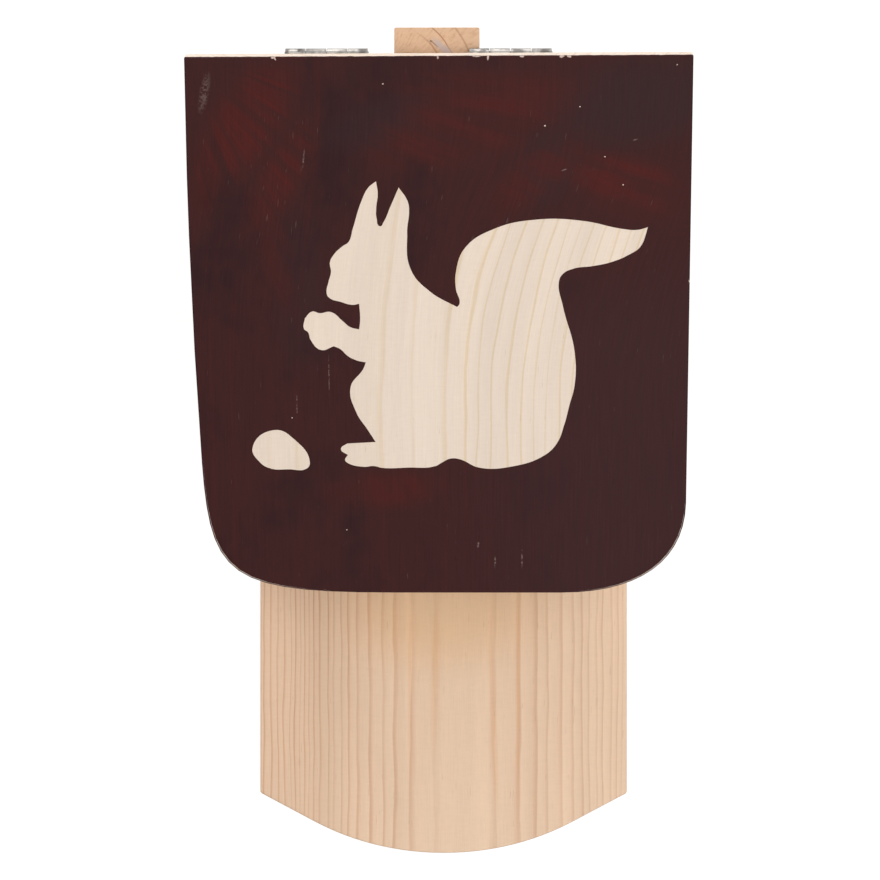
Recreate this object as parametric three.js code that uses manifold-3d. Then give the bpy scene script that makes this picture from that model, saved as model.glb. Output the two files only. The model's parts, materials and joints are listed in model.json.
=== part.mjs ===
// Squirrel feeder box: a small pine nut hopper with a sloping hinged lid. The squirrel sits on the
// floor board, which runs out in front of the box, and lifts the lid with its head to reach the nuts.
// Millimetres, +Z up. +Y is the side that hangs on the tree, and -Y is the squirrel's side.
// The origin is the middle of the underside.
import * as THREE from 'three';
import { mergeVertices } from 'three/addons/utils/BufferGeometryUtils.js';
import Module from 'manifold-3d';

const wasm = await Module();
wasm.setup();
const radians = THREE.MathUtils.degToRad;

// Box walls
const boxWidth = 150;
const wallThickness = 12;
const sideLength = 166;

// Floor board, with a nose that is round in the middle and straight at its flanks
const floorLength = 305;
const floorThickness = 12;
const noseRadius = 115;
const noseFlankAngle = radians(28);
const floorArrisEase = 0.8;

// Lid board: square corners at the hinges, and corners sawn round by hand at the front. Its left
// side bows out a little, and its rear edge runs slightly askew
const lidSideOverhang = 15.25;
const lidFrontOverhang = 14;
const lidThickness = 6;
const lidSkew = 0.9;
const lidRearSkew = 0.35;
const lidLeftBow = 1.1;
const lidArrisEase = 0.5;
const lidRightCorner = { along: 36, across: 46, fullnessShare: 0.64 };
const lidLeftCorner = { along: 52, across: 70, fullnessShare: 0.88 };
const lidRestGap = 0.3;

// Roof line: the lid turns about an axis above the rear wall and slopes down to the front
const roofSlope = radians(19.1);
const hingeAxisHeight = 160;
const hingeAxisBehindBox = 2;
const lidBehindHingeAxis = 0.5;

// Butt hinges, rolled from sheet steel round a pin
const hingeLength = 30;
const leafThickness = 0.8;
const leafReach = 12.5;
const leafCornerRadius = 1;
const pinRadius = 0.7;
const pinClearance = 0.15;
const pinStandOut = 0.3;
const pinEndEase = 0.25;
const knuckleGap = 0.3;
const knuckleSlit = 0.4;
const curlSweep = radians(290);
const leafSeatGap = 0.2;
const leftHingeInset = 34.1;
const rightHingeInset = 50.3;

// Batten at the back that stands the box off the trunk, and the two holes it hangs by
const battenWidth = 30.5;
const battenThickness = 11.6;
const battenOffsetX = -1.6;
const battenArrisEase = 0.6;
const battenBelowWall = 0.3;
const hangingHoleRadius = 3.5;
const lowerHangingHoleAboveFloor = 46;
const upperHangingHoleBelowTop = 25;

// Clear front pane, held in a saw kerf down each side board
const paneThickness = 3;
const gapOverPane = 11.5;
const paneSetback = 7;
const paneFaceClearance = 0.2;
const paneEndClearance = 0.5;
const kerfDepth = 5;

// Countersunk screws: length over all, and the straight rim above the 90 degree cone
const boardScrew = { length: 26, shankRadius: 1.5, headRadius: 3, rim: 0.3, tip: 4 };
const battenScrew = { length: 19, shankRadius: 1.5, headRadius: 3, rim: 0.3, tip: 4 };
const hingeBoxScrew = { length: 11, shankRadius: 1.1, headRadius: 2.1, rim: 0.2, tip: 3 };
const hingeLidScrew = { length: 6, shankRadius: 1.1, headRadius: 2.1, rim: 0.2, tip: 2 };
const screwClearance = 0.12;
const screwHeadSink = 0.3;
const rearScrewInset = 24;
const floorScrewInset = 26;
const backScrewInset = 37;
const lowerBattenScrewAboveFloor = 16;
const upperBattenScrewBelowTop = 60;
const hingeScrewFromEdge = 5;
const hingeScrewSpread = 18.4;

// How far a cutting solid runs past what it cuts, and how finely round shapes are divided
const overrun = 5;
const outlineSteps = 14;
const cornerSteps = 4;
const curlSteps = 22;
const boreSides = 24;
const screwSides = 12;

// Places that follow from the sizes
const floorRearY = (floorLength - battenThickness) / 2;
const floorNoseY = floorRearY - floorLength;
const backFrontY = floorRearY - wallThickness;
const backMiddleY = floorRearY - wallThickness / 2;
const sideFrontY = backFrontY - sideLength;
const sideMiddleX = boxWidth / 2 - wallThickness / 2;
const backScrewX = boxWidth / 2 - backScrewInset;
const paneY = sideFrontY + paneSetback;
const hingeAxisY = floorRearY + hingeAxisBehindBox;
const lidWidth = boxWidth + 2 * lidSideOverhang;
const lidFrontReach = (hingeAxisY - sideFrontY) / Math.cos(roofSlope) + lidFrontOverhang;

// Hinge section: the leaf's outer face is tangent to the barrel, so two closed leaves lie one
// barrel diameter apart over their outer faces
const boreRadius = pinRadius + pinClearance;
const barrelRadius = boreRadius + leafThickness;
const barrelLength = hingeLength - 2 * pinStandOut;
const knuckleLength = (barrelLength - 2 * knuckleGap - knuckleSlit) / 4;
const lidUnderside = barrelRadius + leafSeatGap;

// The roof frame has its origin on the hinge axis, +Y up the slope and +Z square to the lid
const roofToBox = new THREE.Matrix4()
  .makeTranslation(0, hingeAxisY, hingeAxisHeight)
  .multiply(new THREE.Matrix4().makeRotationX(roofSlope));

// Height, at a place along Y, of the plane that lies a given distance above the hinge axis
// square to the slope
function roofPlaneHeight(y, aboveAxis) {
  return hingeAxisHeight + aboveAxis / Math.cos(roofSlope) + (y - hingeAxisY) * Math.tan(roofSlope);
}

const rearWallHeight = roofPlaneHeight(floorRearY, -lidUnderside);

// Geometry and solids

function solidFrom(geometry) {
  const bare = geometry.clone();
  bare.deleteAttribute('normal');
  bare.deleteAttribute('uv');
  const merged = mergeVertices(bare);
  return new wasm.Manifold(new wasm.Mesh({
    numProp: 3,
    vertProperties: new Float32Array(merged.attributes.position.array),
    triVerts: new Uint32Array(merged.index.array),
  }));
}

function geometryFrom(solid) {
  const { vertProperties, triVerts, numProp } = solid.getMesh();
  const geometry = new THREE.BufferGeometry();
  const points = new THREE.InterleavedBuffer(vertProperties, numProp);
  geometry.setAttribute('position', new THREE.InterleavedBufferAttribute(points, 3, 0));
  geometry.setIndex(new THREE.BufferAttribute(triVerts, 1));
  const flat = geometry.toNonIndexed();
  flat.computeVertexNormals();
  return flat;
}

function cutFrom(geometry, cutters) {
  const solid = cutters.reduce((rest, cutter) => rest.subtract(cutter), solidFrom(geometry));
  return geometryFrom(solid);
}

function boxBetween(low, high) {
  const size = new THREE.Vector3().subVectors(high, low);
  const middle = new THREE.Vector3().addVectors(low, high).multiplyScalar(0.5);
  return new THREE.BoxGeometry(size.x, size.y, size.z).translate(middle.x, middle.y, middle.z);
}

// An outline drawn in (y, z), given its width along X
function extrudeAlongX(shape, lowX, width) {
  const geometry = new THREE.ExtrudeGeometry(shape, { depth: width, bevelEnabled: false });
  const axes = new THREE.Matrix4().makeBasis(
    new THREE.Vector3(0, 1, 0),
    new THREE.Vector3(0, 0, 1),
    new THREE.Vector3(1, 0, 0),
  );
  return geometry.applyMatrix4(axes).translate(lowX, 0, 0);
}

// A flat board with its outline in (x, y), its underside at z = 0 and its arrises eased
function easedBoard(shape, thickness, ease) {
  const geometry = new THREE.ExtrudeGeometry(shape, {
    depth: thickness - 2 * ease,
    bevelEnabled: true,
    bevelThickness: ease,
    bevelSize: ease,
    bevelOffset: -ease,
    bevelSegments: 1,
    curveSegments: outlineSteps,
  });
  return geometry.translate(0, 0, ease);
}

// Screws

function screwProfile(screw, clearance, above) {
  const point = -screw.length - clearance;
  const shank = screw.shankRadius + clearance;
  const head = screw.headRadius + clearance;
  return [
    new THREE.Vector2(0, point),
    new THREE.Vector2(shank, point + screw.tip),
    new THREE.Vector2(shank, screw.shankRadius - screw.headRadius - screw.rim),
    new THREE.Vector2(head, -screw.rim),
    new THREE.Vector2(head, above),
    new THREE.Vector2(0, above),
  ];
}

// Turns a screw, drawn along +Y with its head at the origin, to a place and its outward direction
function screwPlace(x, y, z, outward) {
  const up = new THREE.Vector3(0, 1, 0);
  const turn = new THREE.Quaternion().setFromUnitVectors(up, outward);
  return new THREE.Matrix4().makeRotationFromQuaternion(turn).setPosition(x, y, z);
}

function screwGeometry({ screw, place }) {
  return new THREE.LatheGeometry(screwProfile(screw, 0, 0), screwSides).applyMatrix4(place);
}

function screwHole({ screw, place }, frame = new THREE.Matrix4()) {
  const hole = new THREE.LatheGeometry(screwProfile(screw, screwClearance, overrun), screwSides);
  return solidFrom(hole.applyMatrix4(place).applyMatrix4(frame));
}

const rearward = new THREE.Vector3(0, 1, 0);
const downward = new THREE.Vector3(0, 0, -1);
const roofward = new THREE.Vector3(0, 0, 1);

// Two screws through the rear wall into the end of each side board
function rearScrews(side) {
  const heights = { lower: floorThickness + rearScrewInset, upper: rearWallHeight - rearScrewInset };
  return Object.entries(heights).map(([level, height]) => ({
    name: `rear_screw_${side.name}_${level}`,
    screw: boardScrew,
    place: screwPlace(side.sign * sideMiddleX, floorRearY - screwHeadSink, height, rearward),
  }));
}

// Two screws up through the floor into the lower edge of each side board
function floorScrews(side) {
  const places = { front: sideFrontY + floorScrewInset, rear: backFrontY - floorScrewInset };
  return Object.entries(places).map(([end, y]) => ({
    name: `floor_screw_${side.name}_${end}`,
    screw: boardScrew,
    place: screwPlace(side.sign * sideMiddleX, y, screwHeadSink, downward),
  }));
}

const left = { name: 'left', sign: -1 };
const right = { name: 'right', sign: 1 };
const sides = [left, right];

const backFloorScrews = sides.map((side) => ({
  name: `floor_screw_back_${side.name}`,
  screw: boardScrew,
  place: screwPlace(side.sign * backScrewX, backMiddleY, screwHeadSink, downward),
}));

const battenRearY = floorRearY + battenThickness;
const battenScrews = [
  { name: 'batten_screw_lower', height: floorThickness + lowerBattenScrewAboveFloor },
  { name: 'batten_screw_upper', height: rearWallHeight - upperBattenScrewBelowTop },
].map(({ name, height }) => ({
  name,
  screw: battenScrew,
  place: screwPlace(battenOffsetX, battenRearY - screwHeadSink, height, rearward),
}));

// Boards

function floorBoard() {
  const arcMiddleY = floorNoseY + noseRadius;
  const arcHalfWidth = noseRadius * Math.sin(noseFlankAngle);
  const arcEndY = arcMiddleY - noseRadius * Math.cos(noseFlankAngle);
  const cornerY = arcEndY + (boxWidth / 2 - arcHalfWidth) * Math.tan(noseFlankAngle);
  const straightDown = -Math.PI / 2;
  const outline = new THREE.Shape()
    .moveTo(-boxWidth / 2, floorRearY)
    .lineTo(-boxWidth / 2, cornerY)
    .lineTo(-arcHalfWidth, arcEndY)
    .absarc(0, arcMiddleY, noseRadius, straightDown - noseFlankAngle, straightDown + noseFlankAngle)
    .lineTo(boxWidth / 2, cornerY)
    .lineTo(boxWidth / 2, floorRearY)
    .closePath();
  const screws = [...sides.flatMap(floorScrews), ...backFloorScrews];
  const board = easedBoard(outline, floorThickness, floorArrisEase);
  return cutFrom(board, screws.map((each) => screwHole(each)));
}

function sideBoard(side) {
  const restPlane = lidUnderside - lidRestGap;
  const outline = new THREE.Shape()
    .moveTo(sideFrontY, floorThickness)
    .lineTo(backFrontY, floorThickness)
    .lineTo(backFrontY, roofPlaneHeight(backFrontY, restPlane))
    .lineTo(sideFrontY, roofPlaneHeight(sideFrontY, restPlane))
    .closePath();
  const lowX = side.sign * sideMiddleX - wallThickness / 2;
  const board = extrudeAlongX(outline, lowX, wallThickness);

  const innerX = boxWidth / 2 - wallThickness;
  const kerfHalfWidth = paneThickness / 2 + paneFaceClearance;
  const kerfEnds = [side.sign * (innerX - overrun), side.sign * (innerX + kerfDepth)];
  const kerf = solidFrom(boxBetween(
    new THREE.Vector3(Math.min(...kerfEnds), paneY - kerfHalfWidth, floorThickness - overrun),
    new THREE.Vector3(Math.max(...kerfEnds), paneY + kerfHalfWidth, hingeAxisHeight),
  ));
  const screws = [...rearScrews(side), ...floorScrews(side)];
  return cutFrom(board, [kerf, ...screws.map((each) => screwHole(each))]);
}

// A hanging hole runs through the rear wall and the batten behind it
function hangingHole(height) {
  const length = wallThickness + battenThickness + 2 * overrun;
  const bore = new THREE.CylinderGeometry(hangingHoleRadius, hangingHoleRadius, length, boreSides);
  return solidFrom(bore.translate(battenOffsetX, backFrontY - overrun + length / 2, height));
}

const hangingHoles = [
  floorThickness + lowerHangingHoleAboveFloor,
  rearWallHeight - upperHangingHoleBelowTop,
].map(hangingHole);

// The rear wall's top edge is planed to the slope of the lid, lower by the closed hinges
function backBoard(hingeScrews) {
  const outline = new THREE.Shape()
    .moveTo(backFrontY, floorThickness)
    .lineTo(floorRearY, floorThickness)
    .lineTo(floorRearY, rearWallHeight)
    .lineTo(backFrontY, roofPlaneHeight(backFrontY, -lidUnderside))
    .closePath();
  const board = extrudeAlongX(outline, -boxWidth / 2, boxWidth);
  const screws = [...sides.flatMap(rearScrews), ...backFloorScrews, ...battenScrews];
  const holes = screws.map((each) => screwHole(each));
  const hingeHoles = hingeScrews.map((each) => screwHole(each, roofToBox));
  return cutFrom(board, [...hangingHoles, ...holes, ...hingeHoles]);
}

function hangingBatten() {
  const low = { x: battenOffsetX - battenWidth / 2, y: floorRearY };
  const high = { x: battenOffsetX + battenWidth / 2, y: battenRearY };
  const outline = new THREE.Shape()
    .moveTo(low.x, low.y)
    .lineTo(high.x, low.y)
    .lineTo(high.x, high.y - battenArrisEase)
    .lineTo(high.x - battenArrisEase, high.y)
    .lineTo(low.x + battenArrisEase, high.y)
    .lineTo(low.x, high.y - battenArrisEase)
    .closePath();
  const height = rearWallHeight - battenBelowWall;
  const board = new THREE.ExtrudeGeometry(outline, { depth: height, bevelEnabled: false });
  return cutFrom(board, [...hangingHoles, ...battenScrews.map((each) => screwHole(each))]);
}

// The lid's outline, in the roof frame: each front corner is one curve from the side to the front,
// and the left corner's curve sets out in the direction in which the bowed side ends
function lidBoard(hingeScrews) {
  const frontY = -lidFrontReach;
  const halfWidth = lidWidth / 2;
  const rightX = halfWidth + lidSkew;
  const leftX = -halfWidth + lidSkew;
  const rightFullness = lidRightCorner.fullnessShare;
  const leftFullness = lidLeftCorner.fullnessShare;
  const rearLeft = new THREE.Vector2(-halfWidth - lidSkew, lidBehindHingeAxis - lidRearSkew);
  const sideEnd = new THREE.Vector2(leftX, frontY + lidLeftCorner.along);
  const bowHandle = rearLeft.clone().lerp(sideEnd, 0.5).add(new THREE.Vector2(-2 * lidLeftBow, 0));
  const onward = sideEnd.clone().sub(bowHandle).setLength(lidLeftCorner.along * leftFullness);
  const cornerHandle = sideEnd.clone().add(onward);
  const outline = new THREE.Shape()
    .moveTo(rearLeft.x, rearLeft.y)
    .quadraticCurveTo(bowHandle.x, bowHandle.y, sideEnd.x, sideEnd.y)
    .bezierCurveTo(
      cornerHandle.x, cornerHandle.y,
      leftX + lidLeftCorner.across * (1 - leftFullness), frontY,
      leftX + lidLeftCorner.across, frontY,
    )
    .lineTo(rightX - lidRightCorner.across, frontY)
    .bezierCurveTo(
      rightX - lidRightCorner.across * (1 - rightFullness), frontY,
      rightX, frontY + lidRightCorner.along * (1 - rightFullness),
      rightX, frontY + lidRightCorner.along,
    )
    .lineTo(halfWidth - lidSkew, lidBehindHingeAxis + lidRearSkew)
    .closePath();
  const board = easedBoard(outline, lidThickness, lidArrisEase).translate(0, 0, lidUnderside);
  return cutFrom(board, hingeScrews.map((each) => screwHole(each)));
}

// The pane stands on the floor in the two kerfs and stops short of the lid
function frontPane() {
  const halfWidth = boxWidth / 2 - wallThickness + kerfDepth - paneEndClearance;
  const frontY = paneY - paneThickness / 2;
  const rearY = paneY + paneThickness / 2;
  return boxBetween(
    new THREE.Vector3(-halfWidth, frontY, floorThickness),
    new THREE.Vector3(halfWidth, rearY, roofPlaneHeight(frontY, lidUnderside) - gapOverPane),
  );
}

// Hinges, in the roof frame. face is -1 for the leaf on the box, which lies below the axis, and 1
// for the leaf under the lid

// Section of a leaf in (y, z): the sheet runs in flat, wraps round the pin and stops just short
// of its own inner face
function leafSection(face) {
  const outline = new THREE.Shape().moveTo(-leafReach, face * barrelRadius);
  const sheetPoint = (radius, step) => {
    const angle = face * (Math.PI / 2 - curlSweep * step / curlSteps);
    return [radius * Math.cos(angle), radius * Math.sin(angle)];
  };
  for (let step = 0; step <= curlSteps; step += 1) {
    outline.lineTo(...sheetPoint(barrelRadius, step));
  }
  for (let step = curlSteps; step >= 0; step -= 1) {
    outline.lineTo(...sheetPoint(boreRadius, step));
  }
  return outline.lineTo(-leafReach, face * boreRadius).closePath();
}

// Rounds the two free corners of a leaf: the leaf is trimmed to this plan
function leafPlan() {
  const halfLength = barrelLength / 2;
  const freeEdge = -leafReach;
  const plan = new THREE.Shape()
    .moveTo(-halfLength, barrelRadius + overrun)
    .lineTo(-halfLength, freeEdge + leafCornerRadius)
    .absarc(-halfLength + leafCornerRadius, freeEdge + leafCornerRadius, leafCornerRadius,
      Math.PI, 1.5 * Math.PI)
    .lineTo(halfLength - leafCornerRadius, freeEdge)
    .absarc(halfLength - leafCornerRadius, freeEdge + leafCornerRadius, leafCornerRadius,
      1.5 * Math.PI, 2 * Math.PI)
    .lineTo(halfLength, barrelRadius + overrun)
    .closePath();
  const height = 2 * (barrelRadius + overrun);
  const prism = new THREE.ExtrudeGeometry(plan, {
    depth: height,
    bevelEnabled: false,
    curveSegments: cornerSteps,
  });
  return solidFrom(prism.translate(0, 0, -height / 2));
}

// Stretches of the barrel that a leaf leaves open, from one X to another: the box leaf carries the
// outer knuckles, and the lid leaf the middle one, which is slit in two
function openStretches(face) {
  const middleEnd = barrelLength / 2 - knuckleLength;
  if (face < 0) {
    return [[-middleEnd, middleEnd]];
  }
  const ownEnd = middleEnd - knuckleGap;
  const pastEnd = barrelLength / 2 + overrun;
  return [[-pastEnd, -ownEnd], [-knuckleSlit / 2, knuckleSlit / 2], [ownEnd, pastEnd]];
}

function hingeLeaf(hinge, face, screws) {
  const sheet = extrudeAlongX(leafSection(face), -barrelLength / 2, barrelLength);
  const trimmed = solidFrom(sheet).intersect(leafPlan());
  const reach = barrelRadius + overrun;
  const opened = openStretches(face).reduce((rest, [lowX, highX]) => rest.subtract(solidFrom(
    boxBetween(
      new THREE.Vector3(lowX, -barrelRadius - knuckleGap, -reach),
      new THREE.Vector3(highX, reach, reach),
    ),
  )), trimmed);
  const placed = opened.translate([hinge.x, 0, 0]);
  return geometryFrom(screws.reduce((rest, each) => rest.subtract(screwHole(each)), placed));
}

function hingePin(hinge) {
  const half = hingeLength / 2;
  const profile = [
    new THREE.Vector2(0, -half),
    new THREE.Vector2(pinRadius - pinEndEase, -half),
    new THREE.Vector2(pinRadius, -half + pinEndEase),
    new THREE.Vector2(pinRadius, half - pinEndEase),
    new THREE.Vector2(pinRadius - pinEndEase, half),
    new THREE.Vector2(0, half),
  ];
  const pin = new THREE.LatheGeometry(profile, screwSides);
  return pin.rotateZ(Math.PI / 2).translate(hinge.x, 0, 0);
}

// Two screws in each leaf, with their heads in the leaf's inner face
function leafScrews(hinge, face) {
  const outward = face < 0 ? roofward : downward;
  return sides.map((side) => ({
    name: `${hinge.name}_hinge_${face < 0 ? 'box' : 'lid'}_screw_${side.name}`,
    screw: face < 0 ? hingeBoxScrew : hingeLidScrew,
    place: screwPlace(
      hinge.x + side.sign * hingeScrewSpread / 2,
      hingeScrewFromEdge - leafReach,
      face * boreRadius,
      outward,
    ),
  }));
}

// Assembly

const finishes = {
  pine: { color: 0xdebe9e, roughness: 0.72, metalness: 0 },
  stained: { color: 0x422625, roughness: 0.6, metalness: 0 },
  acrylic: { color: 0xe4eeee, roughness: 0.05, metalness: 0, transparent: true, opacity: 0.35 },
  zincSteel: { color: 0xa9a9a4, roughness: 0.35, metalness: 0.9 },
  screwSteel: { color: 0xb8b4a6, roughness: 0.3, metalness: 0.9 },
};

function addPiece(group, name, geometry, finish) {
  const piece = new THREE.Mesh(geometry, new THREE.MeshStandardMaterial(finishes[finish]));
  piece.name = name;
  group.add(piece);
}

function addScrews(group, screws) {
  screws.forEach((each) => addPiece(group, each.name, screwGeometry(each), 'screwSteel'));
}

const hinges = [
  { name: 'left', x: leftHingeInset - boxWidth / 2 },
  { name: 'right', x: boxWidth / 2 - rightHingeInset },
].map((hinge) => ({
  ...hinge,
  boxScrews: leafScrews(hinge, -1),
  lidScrews: leafScrews(hinge, 1),
}));

const feeder = new THREE.Group();

const box = new THREE.Group();
feeder.add(box);
addPiece(box, 'floor_board', floorBoard(), 'pine');
sides.forEach((side) => addPiece(box, `side_board_${side.name}`, sideBoard(side), 'pine'));
addPiece(box, 'back_board', backBoard(hinges.flatMap((hinge) => hinge.boxScrews)), 'pine');
addPiece(box, 'hanging_batten', hangingBatten(), 'pine');
addPiece(box, 'front_pane', frontPane(), 'acrylic');
sides.forEach((side) => addScrews(box, [...rearScrews(side), ...floorScrews(side)]));
addScrews(box, [...backFloorScrews, ...battenScrews]);

const roof = new THREE.Group();
roof.position.set(0, hingeAxisY, hingeAxisHeight);
roof.rotation.x = roofSlope;
feeder.add(roof);
hinges.forEach((hinge) => {
  addPiece(roof, `${hinge.name}_hinge_box_leaf`, hingeLeaf(hinge, -1, hinge.boxScrews), 'zincSteel');
  addPiece(roof, `${hinge.name}_hinge_pin`, hingePin(hinge), 'zincSteel');
  addScrews(roof, hinge.boxScrews);
});

const lid = new THREE.Group();
roof.add(lid);
addPiece(lid, 'lid_board', lidBoard(hinges.flatMap((hinge) => hinge.lidScrews)), 'stained');
hinges.forEach((hinge) => {
  addPiece(lid, `${hinge.name}_hinge_lid_leaf`, hingeLeaf(hinge, 1, hinge.lidScrews), 'zincSteel');
  addScrews(lid, hinge.lidScrews);
});

export default feeder;
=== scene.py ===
# %% [markdown]
# A squirrel feeder box, seen from straight above. The boards are bare pine, and the sloping lid is
# stained dark, with a squirrel and a nut left bare in the stain. This lesson dresses a finished
# CAD model of the box: every new piece takes its place from the CAD piece that it stands for, and
# rides on the same body, so that the lid still opens and the pane still slides.

# %% Load the CAD frame
import json
import math
import random

import bmesh
import bpy
from mathutils import Matrix, Vector


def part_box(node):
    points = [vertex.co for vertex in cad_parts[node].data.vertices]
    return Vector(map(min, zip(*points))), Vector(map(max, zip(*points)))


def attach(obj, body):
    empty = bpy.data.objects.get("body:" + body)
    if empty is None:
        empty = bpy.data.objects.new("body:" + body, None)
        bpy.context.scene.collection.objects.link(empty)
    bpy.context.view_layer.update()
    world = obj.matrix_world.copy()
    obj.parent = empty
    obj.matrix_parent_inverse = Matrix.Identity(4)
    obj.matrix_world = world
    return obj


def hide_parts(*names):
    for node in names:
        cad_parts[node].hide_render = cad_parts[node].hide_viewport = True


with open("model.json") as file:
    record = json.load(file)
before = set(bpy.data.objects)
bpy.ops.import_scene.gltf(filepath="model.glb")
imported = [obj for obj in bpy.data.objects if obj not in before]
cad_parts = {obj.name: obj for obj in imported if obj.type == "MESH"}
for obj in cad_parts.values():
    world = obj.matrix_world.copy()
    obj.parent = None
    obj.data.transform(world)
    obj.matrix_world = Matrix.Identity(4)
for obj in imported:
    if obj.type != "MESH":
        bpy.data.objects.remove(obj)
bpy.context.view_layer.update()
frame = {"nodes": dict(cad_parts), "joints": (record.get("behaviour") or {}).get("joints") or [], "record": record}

# %% [markdown]
# Blender counts in metres, but a joiner thinks in millimetres. One small helper turns the first
# into the second, so every size below can be written as it would be on a drawing. A second helper
# turns colours as they look on a screen (0 to 255) into the linear light that shaders need.

# %% Millimetres and colours
MM = 0.001
SRGB_KNEE = 0.04045
SRGB_TOE_SLOPE = 12.92
SRGB_OFFSET = 0.055
SRGB_POWER = 2.4


def mm(*lengths):
    """One length gives a number in metres, and three give a place."""
    return lengths[0] * MM if len(lengths) == 1 else Vector(lengths) * MM


def linear(level):
    """Turns one screen level from 0 to 255 into linear light."""
    share = level / 255
    if share <= SRGB_KNEE:
        return share / SRGB_TOE_SLOPE
    return ((share + SRGB_OFFSET) / (1 + SRGB_OFFSET)) ** SRGB_POWER


def colour(red, green, blue):
    """A screen colour as the four numbers that a colour socket takes."""
    return (linear(red), linear(green), linear(blue), 1)


def span(box):
    """The size of a (lowest, highest) box in millimetres, for printing."""
    return [round((high - low) / MM, 2) for low, high in zip(*box)]


# %% [markdown]
# The camera hangs about a metre over the lid and looks straight down, as in a catalogue picture.
# A long lens is used there so that the lid and the floor board far below it keep nearly the same
# scale. The camera leans a fraction of a degree, because no hand-set studio camera is dead level.

# %% Camera
CAMERA_PLACE = mm(6.3, 10.7, 1167.6)
CAMERA_LENS = 115.57
CAMERA_SENSOR = 36
CAMERA_LEAN = 0.0067

camera_data = bpy.data.cameras.new("overhead_camera")
camera_data.lens = CAMERA_LENS
camera_data.sensor_width = CAMERA_SENSOR
camera = bpy.data.objects.new("overhead_camera", camera_data)
camera.location = CAMERA_PLACE
camera.rotation_euler = (0, CAMERA_LEAN, 0)
bpy.context.scene.collection.objects.link(camera)
bpy.context.scene.camera = camera
bpy.context.scene.view_settings.view_transform = "Standard"
print("camera height in mm:", round(CAMERA_PLACE.z / MM))

# %% [markdown]
# Three habits keep modelling by script safe. First, everything is deselected before anything is
# picked, because an operator acts on all that is selected. Second, faces and edges are chosen by
# where they are, since a script has no mouse to click with. Third, each finished piece has its
# move and turn applied, so its object sits at the origin and its place is in its mesh.

# %% Helpers for picking and editing
TOUCH = mm(0.01)
FACING = 0.9


def pick(piece):
    """Makes one piece the only selected object and the active one."""
    bpy.ops.object.select_all(action="DESELECT")
    piece.select_set(True)
    bpy.context.view_layer.objects.active = piece
    return piece


def settle(piece, place=None):
    """Puts a piece in its place, and moves that place from its object into its mesh."""
    pick(piece)
    if place is not None:
        piece.matrix_world = place @ piece.matrix_world
    bpy.ops.object.transform_apply(location=True, rotation=True, scale=True)
    return piece


def open_mesh(piece, kind="FACE"):
    """Enters edit mode with nothing selected."""
    pick(piece)
    bpy.ops.object.mode_set(mode="EDIT")
    bpy.ops.mesh.select_mode(type=kind)
    bpy.ops.mesh.select_all(action="DESELECT")


def close_mesh():
    bpy.ops.object.mode_set(mode="OBJECT")


def weld():
    """In edit mode, selects everything and merges the vertices that touch."""
    bpy.ops.mesh.select_all(action="SELECT")
    bpy.ops.mesh.remove_doubles(threshold=TOUCH / 2)


def close_outwards():
    """Turns the faces of a closed shell outwards and leaves edit mode."""
    bpy.ops.mesh.select_all(action="SELECT")
    bpy.ops.mesh.normals_make_consistent(inside=False)
    close_mesh()


def select(piece, kind, test):
    """In edit mode, selects the vertices, edges or faces that pass a test, and no others."""
    bpy.ops.mesh.select_mode(type=kind)
    bpy.ops.mesh.select_all(action="DESELECT")
    mesh = bmesh.from_edit_mesh(piece.data)
    parts = {"VERT": mesh.verts, "EDGE": mesh.edges, "FACE": mesh.faces}[kind]
    chosen = [part for part in parts if test(part)]
    for part in chosen:
        part.select_set(True)
    mesh.select_flush_mode()
    bmesh.update_edit_mesh(piece.data)
    return len(chosen)


def all_ends(edge, test):
    """True if both ends of an edge pass a test on their place."""
    return all(test(vertex.co) for vertex in edge.verts)


def apply_modifier(piece, kind, **settings):
    """Adds a modifier, sets it and applies it at once."""
    pick(piece)
    modifier = piece.modifiers.new(kind.lower(), kind)
    for name, value in settings.items():
        setattr(modifier, name, value)
    bpy.ops.object.modifier_apply(modifier=modifier.name)
    return piece


def block(name, low, high):
    """A cube primitive stretched between two corners, as the start of a board."""
    bpy.ops.object.select_all(action="DESELECT")
    bpy.ops.mesh.primitive_cube_add(size=1, location=(low + high) / 2, scale=high - low)
    piece = bpy.context.object
    piece.name = name
    piece.data.name = name
    return settle(piece)


def cut(piece, *tools):
    """Takes each tool's shape out of a piece, and throws the tool away."""
    for tool in tools:
        apply_modifier(piece, "BOOLEAN", operation="DIFFERENCE", object=tool, solver="EXACT")
        bpy.data.objects.remove(tool)
    return piece


def saw(piece, place, normal):
    """Saws along a plane and drops the side that the normal points to."""
    open_mesh(piece)
    bpy.ops.mesh.select_all(action="SELECT")
    bpy.ops.mesh.bisect(plane_co=place, plane_no=normal, use_fill=True, clear_outer=True)
    close_mesh()
    return piece


EASE_FROM_ANGLE = math.radians(30)
SMOOTH_ANGLE = math.radians(32)


def ease(piece, width, segments=2):
    """Rounds over every sharp arris."""
    return apply_modifier(piece, "BEVEL", width=width, segments=segments, limit_method="ANGLE",
                          angle_limit=EASE_FROM_ANGLE)


def shade(piece):
    """Shades round stretches smooth and keeps the broad faces flat."""
    pick(piece)
    bpy.ops.object.shade_smooth_by_angle(angle=SMOOTH_ANGLE)
    return apply_modifier(piece, "WEIGHTED_NORMAL", keep_sharp=True)


print("helpers ready, contact tolerance", TOUCH / MM, "mm")

# %% [markdown]
# A shader is a tree of nodes. Writing one in code means the same few moves again and again: add a
# node, set its options, and feed its inputs with numbers or with the outputs of other nodes. These
# helpers do that, so that each material below reads like a recipe.

# %% Helpers for shader nodes
COLOUR_FACTOR, COLOUR_A, COLOUR_B, COLOUR_RESULT = 0, 6, 7, 2


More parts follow.
